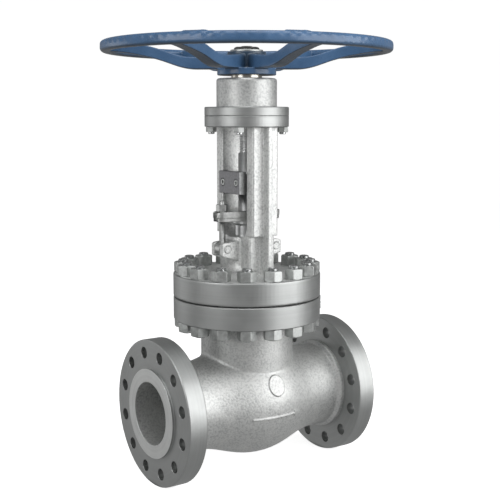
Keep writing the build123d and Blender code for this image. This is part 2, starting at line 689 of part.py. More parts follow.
# ---------------------------------------------------------------- gland eyebolts, nuts and pins
GLAND_NUT_BOTTOM = GLAND_TOP + BODY_GAP
gland_nut = hex_nut(GLAND_NUT_FLATS, GLAND_NUT_H, GLAND_NUT_BOTTOM, EYEBOLT_SHANK_R, turn=30)
for side, place in ((-1, "inlet"), (1, "outlet")):
    with BuildPart() as eyebolt:
        with BuildSketch(Plane.XZ):
            with Locations((side * PIN_X, PIN_Z)):
                Circle(EYE_R)
                Circle(PIN_R + RUNNING_FIT, mode=Mode.SUBTRACT)
        extrude(amount=EAR_INNER_Y - 1.5, both=True)
        with BuildSketch(Plane.XY.offset(PIN_Z + (EYE_R + PIN_R) / 2)):
            with Locations((side * PIN_X, 0)):
                Circle(EYEBOLT_SHANK_R)
        extrude(amount=EYEBOLT_TOP - PIN_Z - (EYE_R + PIN_R) / 2)
        chamfer(eyebolt.faces().sort_by(Axis.Z)[-1].edges(), 1.5)
    eyebolt.part.label = f"{place}_side_eyebolt"
    export_step(eyebolt.part, f"parts/{place}_side_eyebolt.step")

    with BuildPart() as eyebolt_nut:
        with Locations((side * PIN_X, 0, 0)):
            add(gland_nut)
    eyebolt_nut.part.label = f"{place}_side_eyebolt_nut"
    export_step(eyebolt_nut.part, f"parts/{place}_side_eyebolt_nut.step")

    with BuildPart() as pin:
        with BuildSketch(Plane.XZ):
            with Locations((side * PIN_X, PIN_Z)):
                Circle(PIN_R)
        extrude(amount=EAR_OUTER_Y + 1.5, both=True)
        chamfer(pin.edges().filter_by(GeomType.CIRCLE), 1)
    pin.part.label = f"{place}_side_eyebolt_pin"
    export_step(pin.part, f"parts/{place}_side_eyebolt_pin.step")

# ---------------------------------------------------------------- stem, disc and disc nut
COLLAR_BOTTOM = 58.4
STEM_COLLAR_R = 25.0
STEM_COLLAR_H = 12.0
SHOULDER_BOTTOM = 138.0
SHOULDER_TOP = BACKSEAT_BOTTOM - LIFT - 1.0
stem = turned(
    [
        (0, COLLAR_BOTTOM),
        (STEM_COLLAR_R, COLLAR_BOTTOM),
        (STEM_COLLAR_R, COLLAR_BOTTOM + STEM_COLLAR_H),
        (STEM_R, COLLAR_BOTTOM + STEM_COLLAR_H),
        (STEM_R, SHOULDER_BOTTOM),
        (BACKSEAT_CONE_R - 1, SHOULDER_BOTTOM + 6),
        (BACKSEAT_CONE_R - 1, SHOULDER_TOP),
        (STEM_R, SHOULDER_TOP + BACKSEAT_CONE_R - 1 - STEM_R),
        (STEM_R, STEM_THREAD_BOTTOM),
        (STEM_THREAD_R, STEM_THREAD_BOTTOM + 3),
        (STEM_THREAD_R, STEM_TOP - 3),
        (STEM_THREAD_R - 4, STEM_TOP),
        (0, STEM_TOP),
    ],
    "stem",
)
export_step(stem, "parts/stem.step")

DISC_BOTTOM = 22.0
DISC_R = 84.0
DISC_TOP = 52.0
DISC_HUB_R = 40.0
DISC_HUB_TOP = 86.0
DISC_NUT_R = 31.0
disc = turned(
    [
        (0, DISC_BOTTOM),
        (SEAT_BORE_R - 2, DISC_BOTTOM),
        (SEAT_BORE_R - 2, SEAT_WEB_TOP + 0.6),
        (SEAT_CONE_R - 0.2, SEAT_WEB_TOP + 8.4),
        (DISC_R, SEAT_WEB_TOP + 8.4),
        (DISC_R, DISC_TOP - 4),
        (DISC_R - 4, DISC_TOP),
        (DISC_HUB_R + 8, DISC_TOP),
        (DISC_HUB_R, DISC_TOP + 8),
        (DISC_HUB_R, DISC_HUB_TOP),
        (DISC_NUT_R, DISC_HUB_TOP),
        (DISC_NUT_R, COLLAR_BOTTOM - BODY_GAP),
        (0, COLLAR_BOTTOM - BODY_GAP),
    ],
    "disc",
)
export_step(disc, "parts/disc.step")

DISC_NUT_BOTTOM = COLLAR_BOTTOM + STEM_COLLAR_H + BODY_GAP
DISC_NUT_FLATS = 68.0
DISC_NUT_HEAD_H = 10.0
disc_nut_head = hex_nut(DISC_NUT_FLATS, DISC_NUT_HEAD_H, DISC_HUB_TOP, STEM_R)
with BuildPart() as disc_nut:
    with BuildSketch(Plane.XY.offset(DISC_NUT_BOTTOM)):
        Circle(DISC_NUT_R)
    extrude(amount=DISC_HUB_TOP - DISC_NUT_BOTTOM)
    add(disc_nut_head)
    with BuildSketch(Plane.XY.offset(DISC_NUT_BOTTOM)):
        Circle(STEM_R + BODY_GAP)
    extrude(amount=DISC_HUB_TOP, mode=Mode.SUBTRACT)
disc_nut.part.label = "disc_nut"
export_step(disc_nut.part, "parts/disc_nut.step")

# ---------------------------------------------------------------- stem clamp and anti-rotation plate
CLAMP_HALF_X = PLATE_OUTER_X - PLATE_THICK
CLAMP_HALF_Y = 40.0
CLAMP_BOTTOM = 522.0
CLAMP_TOP = 565.0
PLATE_Z = (PLATE_BOTTOM + PLATE_TOP) / 2
SCREW_HEAD_R = 8.0
SCREW_R = 5.0
SCREW_HEAD_DEPTH = 9.0
SCREW_DEPTH = 40.0
SCREW_SEAT_X = PLATE_OUTER_X - SCREW_HEAD_DEPTH
with BuildPart() as stem_clamp:
    with BuildSketch(Plane.XY.offset(CLAMP_BOTTOM)):
        RectangleRounded(2 * CLAMP_HALF_X, 2 * CLAMP_HALF_Y, 4)
        Circle(STEM_R, mode=Mode.SUBTRACT)
    extrude(amount=CLAMP_TOP - CLAMP_BOTTOM)
    with BuildSketch(Plane.YZ.offset(-CLAMP_HALF_X)):
        with Locations((-PLATE_SCREW_Y, PLATE_Z), (PLATE_SCREW_Y, PLATE_Z)):
            Circle(SCREW_R)
    extrude(amount=SCREW_DEPTH - PLATE_THICK, mode=Mode.SUBTRACT)
stem_clamp.part.label = "stem_clamp"
export_step(stem_clamp.part, "parts/stem_clamp.step")

COUNTERBORE_R = 9.5
with BuildPart() as anti_rotation_plate:
    with BuildSketch(Plane.YZ.offset(-PLATE_OUTER_X)):
        with Locations((0, PLATE_Z)):
            Rectangle(2 * PLATE_HALF_Y, PLATE_TOP - PLATE_BOTTOM)
    extrude(amount=PLATE_THICK)
    chamfer(anti_rotation_plate.faces().sort_by(Axis.X)[0].edges(), 1)
    with BuildSketch(Plane.YZ.offset(-PLATE_OUTER_X)):
        with Locations((-PLATE_SCREW_Y, PLATE_Z), (PLATE_SCREW_Y, PLATE_Z)):
            Circle(COUNTERBORE_R)
    extrude(amount=SCREW_HEAD_DEPTH, mode=Mode.SUBTRACT)
    with BuildSketch(Plane.YZ.offset(-PLATE_OUTER_X)):
        with Locations((-PLATE_SCREW_Y, PLATE_Z), (PLATE_SCREW_Y, PLATE_Z)):
            Circle(SCREW_R)
    extrude(amount=PLATE_THICK, mode=Mode.SUBTRACT)
anti_rotation_plate.part.label = "anti_rotation_plate"
export_step(anti_rotation_plate.part, "parts/anti_rotation_plate.step")

SOCKET_FLATS = 8.0
with BuildPart() as plate_screws:
    with BuildSketch(Plane.YZ.offset(-PLATE_OUTER_X)):
        with Locations((-PLATE_SCREW_Y, PLATE_Z), (PLATE_SCREW_Y, PLATE_Z)):
            Circle(SCREW_HEAD_R)
    extrude(amount=SCREW_HEAD_DEPTH)
    with BuildSketch(Plane.YZ.offset(-SCREW_SEAT_X)):
        with Locations((-PLATE_SCREW_Y, PLATE_Z), (PLATE_SCREW_Y, PLATE_Z)):
            Circle(SCREW_R)
    extrude(amount=SCREW_DEPTH - SCREW_HEAD_DEPTH - 1)
    with BuildSketch(Plane.YZ.offset(-PLATE_OUTER_X)):
        with Locations((-PLATE_SCREW_Y, PLATE_Z), (PLATE_SCREW_Y, PLATE_Z)):
            RegularPolygon(corner_radius(SOCKET_FLATS), 6)
    extrude(amount=SCREW_HEAD_DEPTH * 0.6, mode=Mode.SUBTRACT)
plate_screws.part.label = "plate_screws"
export_step(plate_screws.part, "parts/plate_screws.step")

# ---------------------------------------------------------------- bearing housing
HOUSING_EDGE_R = 7.0
NIPPLE_Z = (HOUSING_FLANGE_TOP + HOUSING_CEILING) / 2
NIPPLE_SHANK_R = 5.0
NIPPLE_HEX_R = 7.0
NIPPLE_HEX_H = 6.0
NIPPLE_HEAD_R = 3.5
NIPPLE_HEAD_H = 9.0
with BuildPart() as bearing_housing:
    with BuildSketch(Plane.XY.offset(YOKE_DISC_TOP)):
        Circle(YOKE_DISC_R)
    extrude(amount=HOUSING_FLANGE_TOP - YOKE_DISC_TOP)
    with BuildSketch(Plane.XY.offset(HOUSING_FLANGE_TOP)):
        Circle(HOUSING_R)
    extrude(amount=HOUSING_TOP - HOUSING_FLANGE_TOP)
    fillet(bearing_housing.edges().filter_by(GeomType.CIRCLE).sort_by(Axis.Z)[-1], HOUSING_EDGE_R)
    chamfer(rings(bearing_housing, YOKE_DISC_R).sort_by(Axis.Z)[-1], 1.5)
    with BuildSketch(Plane.XY.offset(YOKE_DISC_TOP)):
        Circle(HOUSING_CAVITY_R)
    extrude(amount=HOUSING_CEILING - YOKE_DISC_TOP, mode=Mode.SUBTRACT)
    with BuildSketch(Plane.XY.offset(HOUSING_CEILING)):
        Circle(SLEEVE_R + BODY_GAP)
    extrude(amount=HOUSING_TOP - HOUSING_CEILING, mode=Mode.SUBTRACT)
    with BuildSketch(Plane.XY.offset(YOKE_DISC_TOP)):
        with PolarLocations(HOUSING_BOLT_CIRCLE_R, HOUSING_STUD_COUNT, start_angle=45):
            Circle(HOUSING_STUD_R)
    extrude(amount=HOUSING_FLANGE_TOP - YOKE_DISC_TOP - 4, mode=Mode.SUBTRACT)
    # The grease hole in the back of the wall takes the nipple.
    with BuildSketch(Plane.XZ.offset(-HOUSING_CAVITY_R)):
        with Locations((0, NIPPLE_Z)):
            Circle(NIPPLE_SHANK_R)
    extrude(amount=HOUSING_CAVITY_R - HOUSING_R - 1, mode=Mode.SUBTRACT)
bearing_housing.part.label = "bearing_housing"
export_step(bearing_housing.part, "parts/bearing_housing.step")

with BuildPart() as grease_nipple:
    with BuildSketch(Plane.XZ.offset(-HOUSING_CAVITY_R - 4)):
        with Locations((0, NIPPLE_Z)):
            Circle(NIPPLE_SHANK_R)
    extrude(amount=4 - HOUSING_R + HOUSING_CAVITY_R)
    with BuildSketch(Plane.XZ.offset(-HOUSING_R)):
        with Locations((0, NIPPLE_Z)):
            RegularPolygon(NIPPLE_HEX_R, 6)
    extrude(amount=-NIPPLE_HEX_H)
    with BuildSketch(Plane.XZ.offset(-HOUSING_R - NIPPLE_HEX_H)):
        with Locations((0, NIPPLE_Z)):
            Circle(NIPPLE_HEAD_R)
    extrude(amount=-NIPPLE_HEAD_H)
    chamfer(grease_nipple.faces().sort_by(Axis.Y)[-1].edges(), 1.2)
grease_nipple.part.label = "grease_nipple"
export_step(grease_nipple.part, "parts/grease_nipple.step")

# ---------------------------------------------------------------- housing studs and nuts
HOUSING_STUD_BOTTOM = YOKE_DISC_BOTTOM - HOUSING_NUT_H - 5
with BuildPart() as housing_studs:
    with BuildSketch(Plane.XY.offset(HOUSING_STUD_BOTTOM)):
        with PolarLocations(HOUSING_BOLT_CIRCLE_R, HOUSING_STUD_COUNT, start_angle=45):
            Circle(HOUSING_STUD_R)
    extrude(amount=HOUSING_FLANGE_TOP - 5 - HOUSING_STUD_BOTTOM)
    chamfer(housing_studs.edges().filter_by(GeomType.CIRCLE).group_by(Axis.Z)[0], 1.5)
housing_studs.part.label = "housing_studs"
export_step(housing_studs.part, "parts/housing_studs.step")

HOUSING_NUT_BOTTOM = YOKE_DISC_BOTTOM - HOUSING_NUT_H
housing_nut = hex_nut(HOUSING_NUT_FLATS, HOUSING_NUT_H, HOUSING_NUT_BOTTOM, HOUSING_STUD_R)
with BuildPart() as housing_nuts:
    with PolarLocations(HOUSING_BOLT_CIRCLE_R, HOUSING_STUD_COUNT, start_angle=45):
        add(housing_nut)
housing_nuts.part.label = "housing_nuts"
export_step(housing_nuts.part, "parts/housing_nuts.step")

# ---------------------------------------------------------------- thrust bearings
SLEEVE_FLANGE_BOTTOM = YOKE_DISC_TOP + 2 * RACE_H + 2 * BALL_R + 0.6
SLEEVE_FLANGE_TOP = HOUSING_CEILING - 2 * RACE_H - 2 * BALL_R - 0.6
CAGE_H = 4.0
for place, bottom in (("lower", YOKE_DISC_TOP), ("upper", SLEEVE_FLANGE_TOP)):
    ball_z = bottom + RACE_H + BALL_R + 0.3
    for level, race_bottom in (("bottom", bottom), ("top", ball_z + BALL_R + 0.3)):
        race = turned(
            [
                (RACE_INNER_R, race_bottom),
                (RACE_OUTER_R, race_bottom),
                (RACE_OUTER_R, race_bottom + RACE_H),
                (RACE_INNER_R, race_bottom + RACE_H),
            ],
            f"{place}_bearing_{level}_race",
        )
        export_step(race, f"parts/{place}_bearing_{level}_race.step")
    with BuildPart() as cage:
        with BuildSketch(Plane.XY.offset(ball_z - CAGE_H / 2)):
            Circle(RACE_OUTER_R - 1)
            Circle(RACE_INNER_R + 1, mode=Mode.SUBTRACT)
            with PolarLocations(BALL_CIRCLE_R, BALL_COUNT):
                Circle(BALL_R, mode=Mode.SUBTRACT)
        extrude(amount=CAGE_H)
    cage.part.label = f"{place}_bearing_cage"
    export_step(cage.part, f"parts/{place}_bearing_cage.step")
    with BuildPart() as balls:
        with PolarLocations(BALL_CIRCLE_R, BALL_COUNT):
            with Locations((0, 0, ball_z)):
                Sphere(BALL_R - 0.05)
    balls.part.label = f"{place}_bearing_balls"
    export_step(balls.part, f"parts/{place}_bearing_balls.step")

# ---------------------------------------------------------------- yoke sleeve
SLEEVE_SKIRT_R = 35.0
SLEEVE_BOTTOM = 684.0
NUT_THREAD_TOP = 870.0
KEY_W = 10.0
KEY_DEPTH = 4.0
KEY_OUTER_R = HUB_BORE_R + 3.5
KEY_TOP = HUB_TOP - 4
with BuildPart() as yoke_sleeve:
    with BuildSketch(Plane.XZ):
        with BuildLine():
            Polyline(
                (STEM_THREAD_R + RUNNING_FIT, SLEEVE_BOTTOM),
                (SLEEVE_SKIRT_R, SLEEVE_BOTTOM),
                (SLEEVE_SKIRT_R, SLEEVE_FLANGE_BOTTOM),
                (RACE_OUTER_R, SLEEVE_FLANGE_BOTTOM),
                (RACE_OUTER_R, SLEEVE_FLANGE_TOP),
                (SLEEVE_R, SLEEVE_FLANGE_TOP),
                (SLEEVE_R, HUB_BOTTOM),
                (HUB_BORE_R, HUB_BOTTOM),
                (HUB_BORE_R, HUB_TOP - 2),
                (SLEEVE_END_R, HUB_TOP - 2),
                (SLEEVE_END_R, NUT_THREAD_TOP - 1.5),
                (SLEEVE_END_R - 1.5, NUT_THREAD_TOP),
                (STEM_THREAD_R + RUNNING_FIT, NUT_THREAD_TOP),
                close=True,
            )
        make_face()
    revolve(axis=Axis.Z)
    with BuildSketch(Plane.XY.offset(HUB_BOTTOM)):
        with Locations((HUB_BORE_R, 0)):
            Rectangle(2 * KEY_DEPTH, KEY_W)
    extrude(amount=HUB_TOP - HUB_BOTTOM, mode=Mode.SUBTRACT)
yoke_sleeve.part.label = "yoke_sleeve"
export_step(yoke_sleeve.part, "parts/yoke_sleeve.step")

with BuildPart() as handwheel_key:
    with BuildSketch(Plane.XY.offset(HUB_BOTTOM)):
        with Locations(((HUB_BORE_R - KEY_DEPTH + KEY_OUTER_R) / 2, 0)):
            Rectangle(KEY_OUTER_R - HUB_BORE_R + KEY_DEPTH, KEY_W)
    extrude(amount=KEY_TOP - HUB_BOTTOM)
handwheel_key.part.label = "handwheel_key"
export_step(handwheel_key.part, "parts/handwheel_key.step")

# ---------------------------------------------------------------- handwheel
SPOKE_BEND_R = 133.0
SPOKE_FLAT_Z = 817.5
RIM_INNER_R = WHEEL_R - RIM_SECTION
RIM_BOTTOM = RIM_CENTRE_Z - RIM_SECTION / 2
SPOKE_ROOT_X = HUB_BARREL_R - 6.0
SPOKE_ROOT_TOP = SPOKE_FLAT_Z + 9.0 + SPOKE_DEPTH
SPOKE_BEND_TOP = SPOKE_FLAT_Z + 3.0 + SPOKE_DEPTH
SPOKE_MIDDLE_X = 205.0
SPOKE_MIDDLE_Z = SPOKE_FLAT_Z + 20.0
SPOKE_OUTER_X = 270.0
SPOKE_OUTER_Z = SPOKE_FLAT_Z + 35.5
SPOKE_END_X = RIM_INNER_R + 8.0
SPOKE_END_BOTTOM = RIM_BOTTOM + 3.5
SPOKE_END_TOP = RIM_BOTTOM + 23.0
with BuildPart() as spoke:
    with BuildSketch(Plane.XZ):
        with BuildLine():
            Line((SPOKE_ROOT_X, SPOKE_FLAT_Z), (SPOKE_BEND_R - 12, SPOKE_FLAT_Z))
            Spline(
                (SPOKE_BEND_R - 12, SPOKE_FLAT_Z),
                (SPOKE_MIDDLE_X, SPOKE_MIDDLE_Z),
                (SPOKE_OUTER_X, SPOKE_OUTER_Z),
                (SPOKE_END_X, SPOKE_END_BOTTOM),
                tangents=((1, 0), (1, 0)),
            )
            Line((SPOKE_END_X, SPOKE_END_BOTTOM), (SPOKE_END_X, SPOKE_END_TOP))
            Spline(
                (SPOKE_END_X, SPOKE_END_TOP),
                (SPOKE_OUTER_X, SPOKE_OUTER_Z + SPOKE_DEPTH),
                (SPOKE_MIDDLE_X, SPOKE_MIDDLE_Z + SPOKE_DEPTH + 1),
                (SPOKE_BEND_R - 14, SPOKE_BEND_TOP),
                tangents=((-1, 0), (-1, 0)),
            )
            Line(
                (SPOKE_BEND_R - 14, SPOKE_BEND_TOP),
                (SPOKE_ROOT_X, SPOKE_ROOT_TOP),
            )
            Line(
                (SPOKE_ROOT_X, SPOKE_ROOT_TOP),
                (SPOKE_ROOT_X, SPOKE_FLAT_Z),
            )
        make_face()
    extrude(amount=SPOKE_HUB_W / 2, both=True)
    with BuildSketch(Plane.XY.offset(HUB_BOTTOM)):
        with BuildLine():
            Polyline(
                (0, SPOKE_HUB_W / 2),
                (SPOKE_BEND_R, SPOKE_HUB_W / 2),
                (SPOKE_END_X + 2, SPOKE_RIM_W / 2),
                (SPOKE_END_X + 2, -SPOKE_RIM_W / 2),
                (SPOKE_BEND_R, -SPOKE_HUB_W / 2),
                (0, -SPOKE_HUB_W / 2),
                close=True,
            )
        make_face()
    extrude(amount=RIM_CENTRE_Z - HUB_BOTTOM + RIM_SECTION, mode=Mode.INTERSECT)

# Two raised arrows lie along the top of the rim and show which way the wheel turns.
MARK_ANGLES = (-105.5, -142.5)
MARK_HALF_LENGTH = 27.5
MARK_HEAD_LENGTH = 14.0
MARK_LINE_HALF_W = 1.8
MARK_HEAD_HALF_W = 5.0
MARK_RELIEF = 2.5
MARK_HEAD_Y = MARK_HALF_LENGTH - MARK_HEAD_LENGTH
RIM_TOP = RIM_CENTRE_Z + RIM_SECTION / 2
with BuildSketch() as direction_mark:
    with BuildLine():
        Polyline(
            (-MARK_LINE_HALF_W, -MARK_HALF_LENGTH),
            (-MARK_LINE_HALF_W, MARK_HEAD_Y),
            (-MARK_HEAD_HALF_W, MARK_HEAD_Y),
            (0, MARK_HALF_LENGTH),
            (MARK_HEAD_HALF_W, MARK_HEAD_Y),
            (MARK_LINE_HALF_W, MARK_HEAD_Y),
            (MARK_LINE_HALF_W, -MARK_HALF_LENGTH),
            close=True,
        )
    make_face()

with BuildPart() as handwheel:
    with BuildSketch(Plane.XZ):
        with Locations((WHEEL_R - RIM_SECTION / 2, RIM_CENTRE_Z)):
            RectangleRounded(RIM_SECTION, RIM_SECTION, RIM_CORNER)
    revolve(axis=Axis.Z)
    with BuildSketch(Plane.XY.offset(RIM_CENTRE_Z)):
        for angle in MARK_ANGLES:
            with PolarLocations(WHEEL_R - RIM_SECTION / 2, 1, start_angle=angle):
                add(direction_mark.sketch)
    extrude(amount=RIM_TOP + MARK_RELIEF - RIM_CENTRE_Z)
    with BuildSketch(Plane.XY.offset(HUB_BOTTOM)):
        Circle(COLLAR_R)
    extrude(amount=COLLAR_TOP - HUB_BOTTOM)
    with BuildSketch(Plane.XY.offset(COLLAR_TOP)):
        Circle(HUB_BARREL_R)
    extrude(amount=HUB_TOP - COLLAR_TOP)
    with PolarLocations(0, SPOKE_COUNT, start_angle=SPOKE_START):
        add(spoke.part)
    with BuildSketch(Plane.XY.offset(HUB_BOTTOM)):
        Circle(HUB_BORE_R)
    extrude(amount=HUB_TOP - HUB_BOTTOM, mode=Mode.SUBTRACT)
    with BuildSketch(Plane.XY.offset(HUB_BOTTOM)):
        with Locations(((HUB_BORE_R - KEY_DEPTH + KEY_OUTER_R) / 2, 0)):
            Rectangle(KEY_OUTER_R - HUB_BORE_R + KEY_DEPTH, KEY_W)
    extrude(amount=HUB_TOP - HUB_BOTTOM, mode=Mode.SUBTRACT)
handwheel.part.label = "handwheel"
export_step(handwheel.part, "parts/handwheel.step")

# ---------------------------------------------------------------- handwheel washer and nut
WASHER_R = 40.0
WASHER_H = 5.0
HANDWHEEL_NUT_FLATS = 54.0
HANDWHEEL_NUT_H = 6.5
handwheel_washer = turned(
    [
        (SLEEVE_END_R + 0.3, HUB_TOP),
        (WASHER_R, HUB_TOP),
        (WASHER_R, HUB_TOP + WASHER_H - 1),
        (WASHER_R - 1, HUB_TOP + WASHER_H),
        (SLEEVE_END_R + 0.3, HUB_TOP + WASHER_H),
    ],
    "handwheel_washer",
)
export_step(handwheel_washer, "parts/handwheel_washer.step")

HANDWHEEL_NUT_BOTTOM = HUB_TOP + WASHER_H
handwheel_nut = hex_nut(
    HANDWHEEL_NUT_FLATS,
    HANDWHEEL_NUT_H,
    HANDWHEEL_NUT_BOTTOM,
    SLEEVE_END_R,
    turn=SPOKE_START,
)
handwheel_nut.label = "handwheel_nut"
export_step(handwheel_nut, "parts/handwheel_nut.step")

# ---------------------------------------------------------------- blank plate on the body flange
TAG_ANGLE = -28.0
TAG_HALF_ANGLE = 10.0
TAG_BOTTOM = 228.0
TAG_TOP = 258.0
TAG_THICK = 1.8
with BuildPart() as rating_plate:
    with BuildSketch(Plane.XY.offset(TAG_BOTTOM)):
        Circle(BONNET_FLANGE_R + TAG_THICK)
        Circle(BONNET_FLANGE_R, mode=Mode.SUBTRACT)
        with BuildLine():
            Polyline(
                (0, 0),
                (
                    2 * BONNET_FLANGE_R * math.cos(math.radians(TAG_ANGLE - TAG_HALF_ANGLE)),
                    2 * BONNET_FLANGE_R * math.sin(math.radians(TAG_ANGLE - TAG_HALF_ANGLE)),
                ),
                (
                    2 * BONNET_FLANGE_R * math.cos(math.radians(TAG_ANGLE + TAG_HALF_ANGLE)),
                    2 * BONNET_FLANGE_R * math.sin(math.radians(TAG_ANGLE + TAG_HALF_ANGLE)),
                ),
                close=True,
            )
        make_face(mode=Mode.INTERSECT)
    extrude(amount=TAG_TOP - TAG_BOTTOM)
rating_plate.part.label = "rating_plate"
export_step(rating_plate.part, "parts/rating_plate.step")
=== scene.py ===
"""The look of a flanged globe valve: rounded castings, machined flanges, threads and their finishes."""

import json
import math

import bmesh
import bpy
import numpy as np
from mathutils import Matrix, Vector


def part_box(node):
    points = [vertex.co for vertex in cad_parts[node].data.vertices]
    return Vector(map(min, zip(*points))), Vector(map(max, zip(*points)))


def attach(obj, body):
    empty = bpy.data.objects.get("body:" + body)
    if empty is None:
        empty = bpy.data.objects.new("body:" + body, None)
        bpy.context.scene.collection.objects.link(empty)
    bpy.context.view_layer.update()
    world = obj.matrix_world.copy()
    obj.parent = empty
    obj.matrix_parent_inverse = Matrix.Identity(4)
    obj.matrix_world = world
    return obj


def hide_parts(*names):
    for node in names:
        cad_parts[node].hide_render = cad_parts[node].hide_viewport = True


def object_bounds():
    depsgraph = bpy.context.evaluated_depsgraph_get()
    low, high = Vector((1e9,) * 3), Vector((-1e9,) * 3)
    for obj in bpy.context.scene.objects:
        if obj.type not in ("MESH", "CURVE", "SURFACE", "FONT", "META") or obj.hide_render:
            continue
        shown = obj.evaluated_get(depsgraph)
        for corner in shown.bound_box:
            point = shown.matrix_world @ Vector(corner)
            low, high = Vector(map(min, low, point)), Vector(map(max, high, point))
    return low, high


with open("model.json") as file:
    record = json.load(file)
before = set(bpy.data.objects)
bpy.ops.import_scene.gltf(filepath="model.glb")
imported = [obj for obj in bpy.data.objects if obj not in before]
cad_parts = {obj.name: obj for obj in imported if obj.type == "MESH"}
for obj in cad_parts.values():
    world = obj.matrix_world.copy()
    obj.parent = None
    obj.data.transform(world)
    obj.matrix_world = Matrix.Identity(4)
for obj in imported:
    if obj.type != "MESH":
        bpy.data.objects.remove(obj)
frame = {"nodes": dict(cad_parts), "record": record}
CAD_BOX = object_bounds()

MM = 0.001
nodes = frame["nodes"]
body_of_node = {n: b for b, ns in frame["record"]["behaviour"]["bodies"].items() for n in ns}
slot_of_node = {p["node"]: p["material_slot"] for p in frame["record"]["subparts"]}

WELD_GAP = 0.01 * MM  # points nearer than this are one point
FLAT_ANGLE = math.radians(0.4)  # faces that meet at less than this are one flat face
SHARP_ANGLE = math.radians(28)  # edges that meet at more than this are rounded
DOME_RISE = 0.20  # a rod's domed end, as a share of its radius


# ---------------------------------------------------------------- material helpers
def new_material(name):
    """An empty Principled material, as (material, node tree, shader)."""
    material = bpy.data.materials.new(name)
    material.use_nodes = True
    tree = material.node_tree
    return material, tree, tree.nodes["Principled BSDF"]


def wire(tree, shader, colour, roughness, normal):
    """Links the shader's three main inputs; roughness is a socket or a number."""
    tree.links.new(colour, shader.inputs["Base Color"])
    if isinstance(roughness, (int, float)):
        shader.inputs["Roughness"].default_value = roughness
    else:
        tree.links.new(roughness, shader.inputs["Roughness"])
    tree.links.new(normal, shader.inputs["Normal"])


def maths(tree, operation, first, second=None):
    """A Math node; each input is a socket or a number. Returns its output."""
    made = tree.nodes.new("ShaderNodeMath")
    made.operation = operation
    for place, value in enumerate((first, second)):
        if isinstance(value, (int, float)):
            made.inputs[place].default_value = value
        elif value is not None:
            tree.links.new(value, made.inputs[place])
    return made.outputs[0]


def noise(tree, size, detail=3.0, vector=None, stretch=None):
    """Noise whose features are about `size` metres across, as a 0 to 1 socket."""
    made = tree.nodes.new("ShaderNodeTexNoise")
    made.inputs["Scale"].default_value = 1 / size
    made.inputs["Detail"].default_value = detail
    if vector is None:
        vector = tree.nodes.new("ShaderNodeTexCoord").outputs["Object"]
    if stretch:
        mapping = tree.nodes.new("ShaderNodeMapping")
        mapping.inputs["Scale"].default_value = stretch
        tree.links.new(vector, mapping.inputs["Vector"])
        vector = mapping.outputs["Vector"]
    tree.links.new(vector, made.inputs["Vector"])
    return made.outputs["Fac"]


def ramp(tree, value, low, high, colour_low, colour_high):
    """Maps a value from low to high onto a colour between two colours."""
    made = tree.nodes.new("ShaderNodeValToRGB")
    ends = ((low, colour_low), (high, colour_high))
    for stop, (place, colour) in zip(made.color_ramp.elements, ends):
        stop.position = place
        stop.color = (*colour, 1.0)
    tree.links.new(value, made.inputs["Fac"])
    return made.outputs["Color"]


def between(tree, value, low, high, result_low, result_high):
    """Maps a value from low to high onto a number between two numbers."""
    made = tree.nodes.new("ShaderNodeMapRange")
    made.inputs["From Min"].default_value = low
    made.inputs["From Max"].default_value = high
    made.inputs["To Min"].default_value = result_low
    made.inputs["To Max"].default_value = result_high
    tree.links.new(value, made.inputs["Value"])
    return made.outputs["Result"]


def mix(tree, share, first, second):
    """Mixes two colour sockets by a 0 to 1 share."""
    made = tree.nodes.new("ShaderNodeMix")
    made.data_type = "RGBA"
    tree.links.new(share, made.inputs["Factor"])
    tree.links.new(first, made.inputs[6])
    tree.links.new(second, made.inputs[7])
    return made.outputs[2]


def bump(tree, height, depth, below=None, strength=1.0):
    """A Bump node for a 0 to 1 height over `depth` metres, on top of another bump."""
    made = tree.nodes.new("ShaderNodeBump")
    made.inputs["Strength"].default_value = strength
    made.inputs["Distance"].default_value = depth
    tree.links.new(height, made.inputs["Height"])
    if below is not None:
        tree.links.new(below, made.inputs["Normal"])
    return made.outputs["Normal"]


def lathe_vector(tree, axis):
    """Distances from and along the X or Z axis, as a vector for turning marks, and the radius."""
    parts = tree.nodes.new("ShaderNodeSeparateXYZ")
    tree.links.new(tree.nodes.new("ShaderNodeTexCoord").outputs["Object"], parts.inputs[0])
    along = parts.outputs[axis]
    across = [parts.outputs[n] for n in "XYZ" if n != axis]
    squares = [maths(tree, "MULTIPLY", s, s) for s in across]
    radius = maths(tree, "SQRT", maths(tree, "ADD", *squares))
    joined = tree.nodes.new("ShaderNodeCombineXYZ")
    tree.links.new(radius, joined.inputs["X"])
    tree.links.new(along, joined.inputs["Y"])
    return joined.outputs[0], radius


# ---------------------------------------------------------------- materials
def cast_silver(name, light=(0.68, 0.69, 0.68), dark=(0.44, 0.45, 0.45)):
    """Aluminium paint over a sand casting: pitted, mottled, a little dirt in the pits."""
    material, tree, shader = new_material(name)
    sand = noise(tree, 5 * MM, 4.0)
    grain = noise(tree, 1.8 * MM, 2.0)
    waves = noise(tree, 45 * MM, 2.0)
    colour = ramp(tree, sand, 0.34, 0.56, dark, light)
    stain = ramp(tree, waves, 0.35, 0.7, (0.52, 0.525, 0.515), (0.70, 0.705, 0.69))
    mottled = mix(tree, between(tree, waves, 0.3, 0.7, 0.2, 0.5), colour, stain)
    shader.inputs["Metallic"].default_value = 0.78
    relief = bump(tree, waves, 3.0 * MM, strength=0.4)
    relief = bump(tree, sand, 1.3 * MM, relief, 0.5)
    relief = bump(tree, grain, 0.4 * MM, relief, 0.45)
    wire(tree, shader, mottled, between(tree, grain, 0.3, 0.7, 0.42, 0.60), relief)
    return material


